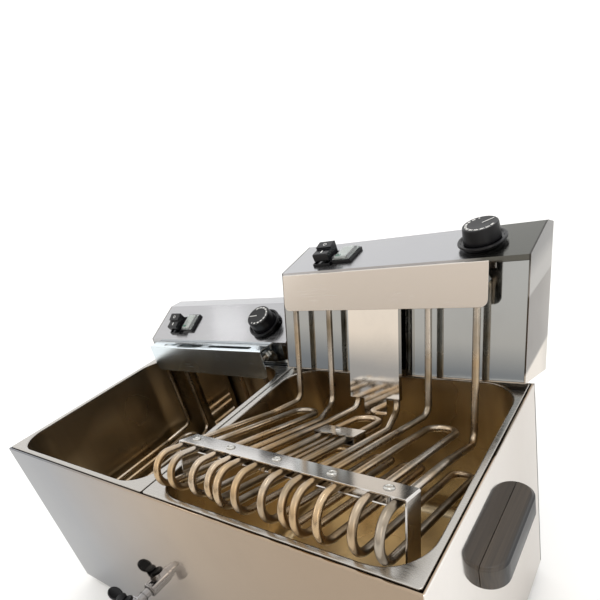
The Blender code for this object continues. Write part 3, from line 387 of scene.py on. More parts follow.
# the shield's warmer colour high up is a painted reflection
SHIELD = brushed("shield_steel", (0.70, 0.77, 0.81), 0.21, 0.6, high=(0.60, 0.55, 0.50))
SATIN = brushed("satin_steel", (0.50, 0.49, 0.48), 0.34, 0.4)
STRAP = polished("strap_steel", (0.60, 0.58, 0.555), 0.10)
TANK = tank_steel()
TUBE = tube_steel("element_sheath", (0.50, 0.45, 0.39), (0.21, 0.17, 0.12), 0.28)
CAPILLARY = tube_steel("capillary_sheath", (0.42, 0.36, 0.29), (0.24, 0.19, 0.14), 0.34)
KNOB_BLACK = plastic("knob_black", (0.004, 0.004, 0.005), 0.32, Specular_IOR_Level=0.24)
GLOSS_BLACK = plastic("gloss_black", (0.003, 0.003, 0.004), 0.16, 0.00002, Specular_IOR_Level=0.26)
GRIP = grip_plastic()
RUBBER = plastic("foot_rubber", (0.02, 0.02, 0.02), 0.75, 0.00012, 400.0)
CHROME = chrome("tap_chrome", (0.58, 0.58, 0.59), 0.08)
BRASS = chrome("tap_brass", (0.70, 0.55, 0.30), 0.2)
ZINC = chrome("zinc_nut", (0.50, 0.49, 0.46), 0.25)
LENS = lens_plastic()
PLATE = plain("lamp_plate", (0.58, 0.61, 0.58), 0.35, 0.90)
GREEN = plain("lamp_green", (0.01, 0.22, 0.13), 0.3)
WHITE = plain("mark_white", (0.80, 0.80, 0.78), 0.5, 0.94)
PHENOLIC = plain("thermostat_body", (0.06, 0.045, 0.03), 0.5)


# Shapes

def finish_piece(name, bm, mat, body, slot, extra=False, edge=0.0, angle=35, place=None):
    """Object from a bmesh, riding on a body; it replaces the node of its slot unless it is extra."""
    bmesh.ops.remove_doubles(bm, verts=bm.verts, dist=1e-6)
    bmesh.ops.recalc_face_normals(bm, faces=bm.faces)
    if place is not None:
        bmesh.ops.transform(bm, matrix=place, verts=bm.verts)
    mesh = bpy.data.meshes.new(name)
    bm.to_mesh(mesh)
    bm.free()
    mesh.materials.append(mat)
    mesh.shade_smooth()
    mesh.set_sharp_from_angle(angle=math.radians(angle))
    obj = bpy.data.objects.new(name, mesh)
    bpy.context.scene.collection.objects.link(obj)
    if edge:
        soften(obj, edge)
    if not extra:
        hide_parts(slot)
    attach(obj, body)
    return obj


def soften(obj, width, segments=3):
    """Rounded edges on a piece, as a modifier."""
    mod = obj.modifiers.new("edge", "BEVEL")
    mod.width = width
    mod.segments = segments
    mod.limit_method = "ANGLE"
    mod.angle_limit = math.radians(32)
    mod.harden_normals = True
    mod.use_clamp_overlap = True


def keep(node, mat, edge=0.0):
    """A CAD node stays, with a better material and softened edges."""
    obj = frame["nodes"][node]
    for slot in obj.material_slots:
        slot.material = mat
    if not obj.material_slots:
        obj.data.materials.append(mat)
    if edge:
        soften(obj, edge, 2)


def box(x0, x1, y0, y1, z0, z1):
    bm = bmesh.new()
    centre = Matrix.Translation(((x0 + x1) / 2, (y0 + y1) / 2, (z0 + z1) / 2))
    size = Matrix.Diagonal((x1 - x0, y1 - y0, z1 - z0, 1.0))
    bmesh.ops.create_cube(bm, size=1.0, matrix=centre @ size)
    return bm


def bridged(bm, rings, caps=True):
    """Faces from each closed ring of vertices to the next, and over the first and the last."""
    for low, high in zip(rings, rings[1:]):
        for i in range(len(low)):
            j = (i + 1) % len(low)
            bm.faces.new((low[i], low[j], high[j], high[i]))
    if caps:
        bm.faces.new(rings[0])
        bm.faces.new(rings[-1])


def prism(outline, low, high, frame_of=None):
    """Solid between two copies of an outline; frame_of gives the point for outline and depth."""
    frame_of = frame_of or (lambda u, v, w: (u, v, w))
    bm = bmesh.new()
    ends = [[bm.verts.new(frame_of(u, v, w)) for u, v in outline] for w in (low, high)]
    bm.faces.new(ends[0])
    bm.faces.new(ends[1])
    for i in range(len(outline)):
        j = (i + 1) % len(outline)
        bm.faces.new((ends[0][i], ends[0][j], ends[1][j], ends[1][i]))
    return bm


def along_x(u, v, w):
    return (w, u, v)


def along_y(u, v, w):
    return (u, w, v)


def disc_outline(radius, count=48, middle=(0.0, 0.0)):
    step = 2 * math.pi / count
    return [(middle[0] + radius * math.cos(i * step), middle[1] + radius * math.sin(i * step))
            for i in range(count)]


def rounded_outline(x0, x1, y0, y1, radius, steps=12):
    corners = ((x1 - radius, y0 + radius, -90), (x1 - radius, y1 - radius, 0),
               (x0 + radius, y1 - radius, 90), (x0 + radius, y0 + radius, 180))
    points = []
    for cx, cy, start in corners:
        for i in range(steps + 1):
            angle = math.radians(start + 90 * i / steps)
            points.append((cx + radius * math.cos(angle), cy + radius * math.sin(angle)))
    return points


def lathe(profile, count=64, closed=False):
    """Solid of revolution about z; closed joins the last point to the first."""
    bm = bmesh.new()
    rings = []
    for radius, z in profile:
        if radius < 1e-6:
            rings.append([bm.verts.new((0.0, 0.0, z))])
        else:
            rings.append([bm.verts.new((x, y, z)) for x, y in disc_outline(radius, count)])
    pairs = list(zip(rings, rings[1:])) + ([(rings[-1], rings[0])] if closed else [])
    for low, high in pairs:
        for i in range(count):
            j = (i + 1) % count
            corners = [low[i % len(low)], low[j % len(low)], high[j % len(high)], high[i % len(high)]]
            unique = list(dict.fromkeys(corners))
            if len(unique) > 2:
                bm.faces.new(unique)
    return bm


def moved(bm, matrix):
    bmesh.ops.transform(bm, matrix=matrix, verts=bm.verts)
    return bm


def joined(*parts):
    """One bmesh from several."""
    whole = bmesh.new()
    for bm in parts:
        mesh = bpy.data.meshes.new("part")
        bmesh.ops.recalc_face_normals(bm, faces=bm.faces)
        bm.to_mesh(mesh)
        bm.free()
        whole.from_mesh(mesh)
        bpy.data.meshes.remove(mesh)
    return whole


def fillet(path, radii, steps=8):
    """A path of straight runs with its corners rounded, one radius for each point."""
    points = [Vector(path[0])]
    for k in range(1, len(path) - 1):
        corner, radius = Vector(path[k]), radii[k]
        back = (Vector(path[k - 1]) - corner).normalized()
        ahead = (Vector(path[k + 1]) - corner).normalized()
        half = back.angle(ahead) / 2
        if radius == 0 or half > math.pi / 2 - 0.01:
            points.append(corner)
            continue
        middle = corner + (back + ahead).normalized() * (radius / math.sin(half))
        start = corner + back * (radius / math.tan(half))
        end = corner + ahead * (radius / math.tan(half))
        a, b = start - middle, end - middle
        total = a.angle(b)
        for i in range(steps + 1):
            t = i / steps
            swing = a * math.sin((1 - t) * total) + b * math.sin(t * total)
            points.append(middle + swing / math.sin(total))
    points.append(Vector(path[-1]))
    return points


def swept(path, radius, sides=20):
    """Round bar along a path, closed at both ends."""
    bm = bmesh.new()
    tangents = []
    for k in range(len(path)):
        tangents.append((path[min(k + 1, len(path) - 1)] - path[max(k - 1, 0)]).normalized())
    normal = tangents[0].orthogonal().normalized()
    rings = []
    for k, point in enumerate(path):
        if k:
            normal = tangents[k - 1].rotation_difference(tangents[k]) @ normal
        side = tangents[k].cross(normal)
        rings.append([bm.verts.new(point + normal * (radius * math.cos(a)) + side * (radius * math.sin(a)))
                      for a in (2 * math.pi * i / sides for i in range(sides))])
    bridged(bm, rings)
    return bm


def bent_sheet(line, thickness):
    """Outline of a folded sheet: the line, and back along it at the sheet's thickness."""
    pts = [Vector(p) for p in line]
    inner = []
    for k, p in enumerate(pts):
        dirs = []
        if k > 0:
            dirs.append((p - pts[k - 1]).normalized())
        if k < len(pts) - 1:
            dirs.append((pts[k + 1] - p).normalized())
        normals = [Vector((d.y, -d.x)) for d in dirs]
        mean = sum(normals, Vector((0.0, 0.0))).normalized()
        inner.append(p + mean * (thickness / mean.dot(normals[0])))
    return [tuple(p) for p in pts] + [tuple(p) for p in reversed(inner)]


def cut(obj, bm, name):
    """Boolean hole through obj; the cutter is applied and removed."""
    mesh = bpy.data.meshes.new(name)
    bmesh.ops.recalc_face_normals(bm, faces=bm.faces)
    bm.to_mesh(mesh)
    bm.free()
    tool = bpy.data.objects.new(name, mesh)
    bpy.context.scene.collection.objects.link(tool)
    mod = obj.modifiers.new("cut", "BOOLEAN")
    mod.solver = "EXACT"
    mod.object = tool
    bpy.context.view_layer.update()
    graph = bpy.context.evaluated_depsgraph_get()
    result = bpy.data.meshes.new_from_object(obj.evaluated_get(graph))
    obj.modifiers.clear()
    obj.data = result
    bpy.data.objects.remove(tool, do_unlink=True)
    bpy.data.meshes.remove(mesh)
    result.shade_smooth()
    result.set_sharp_from_angle(angle=math.radians(35))


HOME = Matrix.Translation((0, HOME_Y, 0))


def head_place(side):
    """A head's own frame: the left one in its tank, the right one tipped back over the rear rim."""
    across = HOME @ Matrix.Translation((side * TANK_X, 0, 0))
    if side < 0:
        return across
    pivot = Matrix.Translation((0, PANEL_Y, PANEL_Z))
    lift = Matrix.Translation((0, HEAD_SHIFT_Y, HEAD_SHIFT_Z))
    return across @ lift @ pivot @ Matrix.Rotation(-HEAD_TILT, 4, "X") @ pivot.inverted()


def slope_frame():
    """The sloping panel's frame: x across, y up the slope, z out of it."""
    c, s = math.cos(PANEL_SLOPE), math.sin(PANEL_SLOPE)
    return Matrix(((1, 0, 0, 0), (0, c, -s, PANEL_Y), (0, s, c, PANEL_Z), (0, 0, 0, 1)))


def panel_place(side, x, s):
    """A spot on a head's panel, x across and s up the slope."""
    return head_place(side) @ slope_frame() @ Matrix.Translation((x, s, 0))


# Housing

def housing():
    """Folded shell with its inward rim, and the holes for the taps."""
    half_x, front, drop = WIDTH / 2, -DEPTH / 2, RIM_Z - RIM_DROP
    fold = [(0.0, FOOT_H), (0.0, RIM_Z - 0.0009), (0.0003, RIM_Z - 0.0003), (0.0009, RIM_Z),
            (RIM_FOLD - 0.0004, RIM_Z), (RIM_FOLD, RIM_Z - 0.0004), (RIM_FOLD, drop),
            (RIM_FOLD + SHELF, drop)]
    bm = bmesh.new()
    loops = []
    for inset, z in bent_sheet(fold, SHEET):
        x, y, r = half_x - inset, front + inset, max(0.0022 - inset, 0.0004)
        path = [(-x, REAR_SEAM_Y)]
        for cx, cy, start in ((-x + r, y + r, 180), (x - r, y + r, 270)):
            for i in range(7):
                a = math.radians(start + 15 * i)
                path.append((cx + r * math.cos(a), cy + r * math.sin(a)))
        path.append((x, REAR_SEAM_Y))
        loops.append([bm.verts.new((px, py, z)) for px, py in path])
    for k, low in enumerate(loops):
        high = loops[(k + 1) % len(loops)]
        for i in range(len(low) - 1):
            bm.faces.new((low[i], low[i + 1], high[i + 1], high[i]))
    bm.faces.new([loop[0] for loop in loops])
    bm.faces.new([loop[-1] for loop in loops])
    shell = finish_piece("housing_skin", bm, MIRROR, "housing", "housing_shell",
                         place=HOME)
    for name, side in SIDES.items():
        middle = (side * TANK_X + TAP_SHIFT_X, TAP_Z)
        hole = prism(disc_outline(TAP_HOLE_R, 32, middle), -0.14, -0.125, along_y)
        cut(shell, moved(hole, HOME), f"{name}_tap_hole")
    keep("rear_panel", SATIN, 0.0004)
    keep("base_plate", SATIN, 0.0003)


def tanks():
    """Drawn pans: a flange with rounded edges, a rolled lip, upright walls and a rounded bottom."""
    for name, side in SIDES.items():
        fx0, fx1 = sorted((side * FLANGE_IN, side * FLANGE_OUT))
        ox0, ox1 = side * TANK_X - TANK_HALF_X, side * TANK_X + TANK_HALF_X
        oy0, oy1 = TANK_Y - TANK_HALF_Y, TANK_Y + TANK_HALF_Y

        def flange(inset, z):
            return [(x, y, z) for x, y in
                    rounded_outline(fx0 + inset, fx1 - inset, -FLANGE_Y + inset, FLANGE_Y - inset,
                                    0.003 - inset)]

        def pan(inset, z, rear=None):
            back = oy1 - (inset if rear is None else rear)
            return [(x, y, z) for x, y in
                    rounded_outline(ox0 + inset, ox1 - inset, oy0 + inset, back, TANK_R - inset * 0.7)]

        levels = [flange(0.0, FLANGE_LOW_Z), flange(0.0, FLANGE_Z - 0.001),
                  flange(0.0003, FLANGE_Z - 0.0003), flange(0.001, FLANGE_Z), pan(-LIP_R, FLANGE_Z)]
        for step in (1, 2, 3, 4):
            a = math.radians(90 * step / 4)
            levels.append(pan(-LIP_R + LIP_R * math.sin(a), FLANGE_Z - LIP_R * (1 - math.cos(a))))
        levels.append(pan(PAN_WALL, PAN_BEND_Z, 0.0005))
        for step in range(1, 9):
            a = math.radians(90 * step / 8)
            drop = PAN_WALL + PAN_BEND_IN * (1 - math.cos(a))
            levels.append(pan(drop, PAN_BEND_Z - (PAN_BEND_Z - TANK_FLOOR_Z) * math.sin(a)))
        bm = bmesh.new()
        loops = [[bm.verts.new(p) for p in ring] for ring in levels]
        bridged(bm, loops, caps=False)
        bm.faces.new(loops[-1])
        obj = finish_piece(f"{name}_pan", bm, TANK, "housing", f"{name}_tank", place=HOME,
                           angle=50)
        middle = (side * TANK_X + TAP_SHIFT_X, DRAIN_Y)
        hole = prism(disc_outline(DRAIN_R, 32, middle), 0.055, 0.07)
        if max(obj.data.polygons, key=lambda f: f.area).normal.z < 0:
            obj.data.flip_normals()
        skin = obj.modifiers.new("sheet", "SOLIDIFY")
        skin.thickness = 0.001
        skin.offset = -1.0
        cut(obj, moved(hole, HOME), f"{name}_drain_hole")


def handles():
    """Half-round grips, flat against the side walls, with a moulded edge all round."""
    for name, side in SIDES.items():
        inner = WIDTH / 2 + GAP
        low = HANDLE_TOP_Z - HANDLE_T
        edge = [(0.0022, 0.0), (0.0012, 0.0003), (0.0005, 0.0010), (0.0, 0.0024),
                (0.0, HANDLE_T - 0.0030), (0.0003, HANDLE_T - 0.0024), (0.0009, HANDLE_T - 0.0020),
                (0.0016, HANDLE_T - 0.0016), (0.0019, HANDLE_T - 0.0008), (0.0024, HANDLE_T - 0.0002),
                (0.0032, HANDLE_T)]
        bm = bmesh.new()
        rings = []
        for inset, rise in edge:
            radius = HANDLE_R - inset
            ring = []
            for end, start in ((-1, -90), (1, 0)):
                for i in range(25):
                    a = math.radians(start + 90 * i / 24)
                    ring.append((side * (inner + radius * math.cos(a)),
                                 HANDLE_Y + end * HANDLE_HALF + radius * math.sin(a), low + rise))
            rings.append([bm.verts.new(point) for point in ring])
        bridged(bm, rings)
        finish_piece(f"{name}_grip", bm, GRIP, "housing", f"{name}_handle",
                     place=HOME, angle=50)


def feet():
    top = FOOT_H - GAP
    for i, x in enumerate((-FOOT_X, FOOT_X)):
        for j, y in enumerate((-FOOT_Y, FOOT_Y)):
            node = f"foot_{'lr'[i]}{'fb'[j]}"
            bm = lathe([(0, 0.0006), (0.006, 0.0006), (0.007, 0), (0.0122, 0), (0.0134, 0.0005),
                        (0.0139, 0.0016), (0.0146, 0.006), (0.0152, top - 0.0005), (0.0148, top),
                        (0, top)], 40)
            finish_piece(f"{node}_pad", bm, RUBBER, "housing", node,
                         place=HOME @ Matrix.Translation((x, y, 0)))


def taps():
    """Elbow from the drain, barrel, spout and bonnet in one casting; stem; handle with two wings."""
    for name, side in SIDES.items():
        place = HOME @ Matrix.Translation((side * TANK_X + TAP_SHIFT_X, TAP_BODY_Y, TAP_Z))
        forward = Matrix.Rotation(math.radians(90), 4, "X")
        drain = DRAIN_Y - TAP_BODY_Y
        elbow = fillet([(0, drain, 0.0185), (0, drain, 0), (0, 0.004, 0)], [0, 0.010, 0], 10)
        spout = fillet([(0, -0.018, 0), (0, SPOUT_Y, 0), (0, SPOUT_Y, -0.0237)], [0, 0.0092, 0], 10)
        spout[-1] = Vector((0, SPOUT_Y, -0.0220))
        barrel = lathe([(0, -0.0145), (0.0086, -0.0145), (0.0098, -0.0138), (0.0101, -0.0125),
                        (0.0101, 0.0135), (0.0096, 0.0150), (0.0087, 0.0158), (0.0087, 0.0195),
                        (0.0082, 0.0218), (0, 0.0218)], 48)
        hexagon = prism(disc_outline(0.0104, 6), -0.0155, -0.0085)
        bonnet = lathe([(0, 0), (0.0065, 0), (0.0065, 0.0125), (0.0058, 0.0135), (0.0054, 0.0154),
                        (0.0031, 0.0154), (0.0031, 0.008), (0, 0.008)], 40)
        mouth = Matrix.Translation((0, SPOUT_Y, SPOUT_LIP_Z))
        lip = lathe([(0.0044, 0), (0.0071, 0), (0.0071, 0.0022), (0.0044, 0.0022)], 40, True)
        bore = lathe([(0, 0.006), (0.0043, 0.006), (0.0043, 0.0001), (0.0069, 0.0001)], 40)
        body = joined(swept(elbow, 0.0062, 32), swept(spout, 0.0070, 32), moved(barrel, forward),
                      moved(hexagon, forward), bonnet, moved(lip, mouth), moved(bore, mouth))
        finish_piece(f"{name}_tap_casting", body, CHROME, "housing", f"{name}_tap_body",
                     place=place, edge=0.0003)
        stem = lathe([(0, 0.004), (0.0026, 0.004), (0.0026, 0.0232), (0, 0.0232)], 32)
        finish_piece(f"{name}_tap_stem", stem, BRASS, f"{name}_tap", f"{name}_tap_ball",
                     place=place)
        hub = lathe([(0, 0.0168), (0.0060, 0.0168), (0.0066, 0.0180), (0.0066, 0.0256), (0.0060, 0.0268),
                     (0.0042, 0.0274), (0, 0.0274)], 48)
        wings = []
        for turn in (0, 180):
            wing = lathe([(0, -0.0020), (0.0072, -0.0020), (0.0084, -0.0013), (0.0087, 0.0),
                          (0.0084, 0.0013), (0.0072, 0.0020), (0.0060, 0.0014), (0, 0.0012)], 48)
            spin = Matrix.Rotation(math.radians(turn), 4, "Z")
            lean = Matrix.Rotation(math.radians(-22), 4, "Y") @ Matrix.Diagonal((1.3, 0.9, 1.0, 1.0))
            wings.append(moved(wing, spin @ Matrix.Translation((0.0125, 0, 0.0262)) @ lean))
        finish_piece(f"{name}_tap_lever", joined(hub, *wings), KNOB_BLACK, f"{name}_tap",
                     f"{name}_tap_handle", place=place)


# Heads

def arc(middle, radius, start, end, plane, steps=14):
    """Points of an arc in the yz or the xy plane, angles in degrees."""
    points = []
    for i in range(steps + 1):
        a = math.radians(start + (end - start) * i / steps)
        c, s = radius * math.cos(a), radius * math.sin(a)
        points.append(Vector(middle) + (Vector((0, c, s)) if plane == "yz" else Vector((c, s, 0))))
    return points


def element_leg(riser_x, tube_x, bend_z, kink_y):
    """Tube end: out of the head, down its front, and sloping over to the upper run."""
    path = [(riser_x, OUTLET_Y, OUTLET_Z), (riser_x, RISER_Y, OUTLET_Z), (riser_x, RISER_Y, bend_z),
            (tube_x, kink_y, UPPER_Z), (tube_x, kink_y - 0.03, UPPER_Z)]
    return fillet(path, [0, 0.0088, 0.012, 0.03, 0], 8)[:-1]


def hex_nut(x, y0, y1):
    """Nut round a tube outlet, facing forward."""
    return prism(disc_outline(0.0065, 6, (x, OUTLET_Z)), y0, y1, along_y)


def elements(name, side):
    """Three tubes, each down and back twice between its two legs, with a nut at each outlet."""
    turn = (TUBE_OUTER - TUBE_INNER) / 2
    for k in range(3):
        mid = ELEMENT_MID + (k - 1) * ELEMENT_PITCH
        xs = [mid - TUBE_OUTER, mid - TUBE_INNER, mid + TUBE_INNER, mid + TUBE_OUTER]
        low_z = LOWER_ZS[k]
        drop, mid_z = (UPPER_Z - low_z) / 2, (UPPER_Z + low_z) / 2
        path = element_leg(mid - RISER_HALF, xs[0], LEG_BEND_Z, LEG_KINK_Y)
        path += arc((xs[0], FRONT_BEND_Y, mid_z), drop, 90, 270, "yz")
        path += arc(((xs[0] + xs[1]) / 2, LOWER_TURN_Y, low_z), turn, 180, 0, "xy")
        path += arc((xs[1], FRONT_BEND_Y, mid_z), drop, 270, 90, "yz")
        path += arc((mid, UPPER_TURN_Y, UPPER_Z), TUBE_INNER, 180, 0, "xy", 16)
        path += arc((xs[2], FRONT_BEND_Y, mid_z), drop, 90, 270, "yz")
        path += arc(((xs[2] + xs[3]) / 2, LOWER_TURN_Y, low_z), turn, 180, 0, "xy")
        path += arc((xs[3], FRONT_BEND_Y, mid_z), drop, 270, 90, "yz")
        bend_z, kink_y = (LAST_LEG_BEND_Z, LAST_LEG_KINK_Y) if k == 2 else (LEG_BEND_Z, LEG_KINK_Y)
        path += reversed(element_leg(mid + RISER_HALF, xs[3], bend_z, kink_y))
        node = f"{name}_element_{k + 1}"
        finish_piece(f"{node}_sheath", swept(path, TUBE_R, 20), TUBE, f"{name}_head", node,
                     place=head_place(side))
        nuts = [hex_nut(mid + s * RISER_HALF, 0.1298, PANEL_Y - 0.0002) for s in (-1, 1)]
        finish_piece(f"{node}_nuts", joined(*nuts), ZINC, f"{name}_head", node, extra=True, edge=0.0005,
                     place=head_place(side))


def clamp(name, side):
    """Folded bar over the tubes with a leg at each end, a strip under them, and rivets through both."""
    top, thick = UPPER_Z + TUBE_R + GAP, CLAMP_SHEET
    low = UPPER_Z - TUBE_R - GAP
    x0, x1, y0, y1 = CLAMP_X0, CLAMP_X1, CLAMP_Y0, CLAMP_Y1
    mid_y = (y0 + y1) / 2
    corner = CLAMP_BEND_R
    line = [(x0, CLAMP_FOOT_Z), (x0, top + thick - corner)]
    for cx, start, sweep in ((x0 + corner, 180, -90), (x1 - corner, 90, -90)):
        for i in range(1, 6):
            a = math.radians(start + sweep * i / 6)
            line.append((cx + corner * math.cos(a), top + thick - corner + corner * math.sin(a)))
    line += [(x1, top + thick - corner), (x1, CLAMP_FOOT_Z)]
    strap = prism(bent_sheet(line, thick), y0, y1, along_y)
    under = box(x0 + 0.0075, x1 - 0.0095, mid_y - 0.007, mid_y + 0.007, low - thick, low)
    node = f"{name}_element_clamp"
    skew = Matrix.Identity(4)
    skew[1][0] = CLAMP_SKEW / (x1 - x0)
    skew[1][3] = -x0 * skew[1][0]
    place = head_place(side) @ skew
    finish_piece(f"{name}_strap", joined(strap, under), STRAP, f"{name}_head", node, edge=0.0003,
                 place=place)
    rivets = []
    for x in RIVET_XS:
        rivets.append(moved(lathe([(0, low - 0.0003), (0.0014, low - 0.0003), (0.0014, top + thick),
                                   (0.0044, top + thick), (0.0043, top + thick + 0.0006),
                                   (0.0036, top + thick + 0.0012), (0.0030, top + thick + 0.0013),
                                   (0.0024, top + thick + 0.0007), (0.0012, top + thick + 0.0006),
                                   (0, top + thick + 0.0008)], 32), Matrix.Translation((x, mid_y, 0))))
    finish_piece(f"{name}_rivets", joined(*rivets), ZINC, f"{name}_head", node, extra=True, place=place)


def shield(name, side):
    """Deflector plate with its slotted top flange, corners rounded at the bottom."""
    y0, y1, r = DEFLECTOR_Y, DEFLECTOR_Y + SHEET, DEFLECTOR_R
    face = []
    for cx, start in ((DEFLECTOR_X0 + r, 180), (DEFLECTOR_X1 - r, 270)):
        for i in range(13):
            a = math.radians(start + 90 * i / 12)
            face.append((cx + r * math.cos(a), DEFLECTOR_Z0 + r + r * math.sin(a)))
    face += [(DEFLECTOR_X1, DEFLECTOR_Z1 - 0.0009), (DEFLECTOR_X0, DEFLECTOR_Z1 - 0.0009)]
    back = PANEL_Y - GAP
    roll = [(y0, DEFLECTOR_Z1 - 0.0012), (y0 + 0.0004, DEFLECTOR_Z1 - 0.0004), (y0 + 0.0012, DEFLECTOR_Z1),
            (back - 0.0010, DEFLECTOR_Z1), (back - 0.0003, DEFLECTOR_Z1 - 0.0003),
            (back, DEFLECTOR_Z1 - 0.0010), (back, DEFLECTOR_Z1 - 0.007)]
    top = prism(bent_sheet(roll, SHEET), DEFLECTOR_X0, DEFLECTOR_X1, along_x)
    node = f"{name}_deflector"
    place = head_place(side)
    fold = finish_piece(f"{name}_shield_top", top, SHIELD, f"{name}_head", node, extra=True, place=place)
    for i, (x0, x1) in enumerate(((-0.094, -0.066), (-0.058, -0.008), (0.006, 0.088))):
        outline = rounded_outline(x0, x1, y0 + 0.005, y0 + 0.012, 0.00305, 8)
        slot = prism(outline, DEFLECTOR_Z1 - 0.003, DEFLECTOR_Z1 + 0.001)
        cut(fold, moved(slot, place), f"{name}_slot_{i}")
    finish_piece(f"{name}_shield", prism(face, y0, y1, along_y), SHIELD, f"{name}_head", node,
                 place=place, edge=0.0002)


def numerals(name, side, turn):
    """White marks round the knob's face: a pointer line, and numbers over the rest of the rim."""
    place = panel_place(side, KNOB_X, KNOB_S) @ Matrix.Rotation(math.radians(turn), 4, "Z")
    marks = [box(0.0020, 0.0142, -0.00042, 0.00042, KNOB_TOP - 0.0001, KNOB_TOP + PRINT)]
    for i, number in enumerate(DIAL_NUMBERS):
        angle = math.radians(DIAL_START + DIAL_STEP * i)
        text = bpy.data.curves.new("numeral", "FONT")
        text.body = str(number)
        text.size = 0.0030
        text.align_x = "CENTER"
        text.align_y = "CENTER"
        text.extrude = 0.0001
        text.offset = 0.00010
        text.resolution_u = 2
        holder = bpy.data.objects.new("numeral", text)
        bpy.context.scene.collection.objects.link(holder)
        bpy.context.view_layer.update()
        graph = bpy.context.evaluated_depsgraph_get()
        mesh = bpy.data.meshes.new_from_object(holder.evaluated_get(graph))
        bm = bmesh.new()
        bm.from_mesh(mesh)
        spot = Matrix.Translation((DIAL_R * math.cos(angle), DIAL_R * math.sin(angle), KNOB_TOP))
        marks.append(moved(bm, spot @ Matrix.Rotation(angle - math.pi / 2, 4, "Z")))
        bpy.data.objects.remove(holder, do_unlink=True)
        bpy.data.curves.remove(text)
        bpy.data.meshes.remove(mesh)
    finish_piece(f"{name}_knob_marks", joined(*marks), WHITE, f"{name}_knob", f"{name}_knob", extra=True,
                 place=place)


def dial(name, side):
    """Bezel and knob of the thermostat, with its printed numbers."""
    place = panel_place(side, KNOB_X, KNOB_S)
    bezel = lathe([(0.0055, 0.0002), (0.0186, 0.0002), (0.0190, 0.0008), (0.0191, 0.0030), (0.0200, 0.0034),
                   (0.0224, 0.0037), (0.0231, 0.0044), (0.0231, 0.0054), (0.0226, 0.0062), (0.0216, 0.0064),
                   (0.0206, 0.0062), (0.0196, 0.0050), (0.0190, 0.0047), (0.0055, 0.0046)], 96, True)
    finish_piece(f"{name}_bezel", bezel, GLOSS_BLACK, f"{name}_head", f"{name}_knob_bezel", place=place)
    profile = [(0, 0.0052), (0.0170, 0.0052), (0.0175, 0.0056), (0.0176, 0.0066), (0.0172, 0.0125),
               (0.0168, KNOB_TOP - 0.0016), (0.0165, KNOB_TOP - 0.0006), (0.0158, KNOB_TOP),
               (0.0152, KNOB_TOP), (0.0149, KNOB_TOP - 0.0002), (0, KNOB_TOP - 0.0002)]
    shaft = lathe([(0, -0.001), (0.003, -0.001), (0.003, 0.0053), (0, 0.0053)], 24)
    finish_piece(f"{name}_dial", joined(lathe(profile, 96), shaft), KNOB_BLACK, f"{name}_knob",
                 f"{name}_knob", place=place)
    numerals(name, side, KNOB_TURN[name])


def switch(name, side):
    """Rocker in its collar, with a bar and a ring printed on its two ends."""
    place = panel_place(side, ROCKER_X, ROCKER_S)
    half_w, half_l = ROCKER_W / 2, SWITCH_LEN / 2
    collar = prism(rounded_outline(-half_w, half_w, -half_l, half_l, 0.0015, 5), 0.0002, 0.0030)
    collar = finish_piece(f"{name}_switch_collar", collar, GLOSS_BLACK, f"{name}_head",
                          f"{name}_switch_frame", place=place, edge=0.0004)
    well = prism(rounded_outline(-0.0108, 0.0108, -0.0149, 0.0149, 0.0008, 4), 0.0008, 0.0040)
    cut(collar, moved(well, place), f"{name}_switch_well")
    cap = [(-0.0117, 0.0042), (-0.0122, 0.0120), (-0.0112, 0.0132), (-0.0004, 0.0139), (-0.0010, 0.0164),
           (0.0100, 0.0184), (0.0114, 0.0178), (0.0113, 0.0044)]
    finish_piece(f"{name}_rocker_cap", prism(cap, -0.0104, 0.0104, along_x), GLOSS_BLACK,
                 f"{name}_rocker", f"{name}_rocker", place=place, edge=0.0006)
    front_up = Matrix.Rotation(math.atan2(0.0007, 0.0108), 4, "X")
    back_up = Matrix.Rotation(math.atan2(0.0020, 0.0110), 4, "X")
    bar = prism(rounded_outline(-0.0007, 0.0007, -0.0024, 0.0024, 0.0006, 4), 0.0, PRINT)
    bar = moved(bar, Matrix.Translation((0, -0.0060, 0.01354)) @ front_up)
    ring = lathe([(0.0016, 0), (0.0022, 0), (0.0022, PRINT), (0.0016, PRINT)], 28, True)
    ring = moved(ring, Matrix.Translation((0, 0.0045, 0.01740)) @ back_up)
    finish_piece(f"{name}_rocker_marks", joined(bar, ring), WHITE, f"{name}_rocker", f"{name}_rocker",
                 extra=True, place=place)


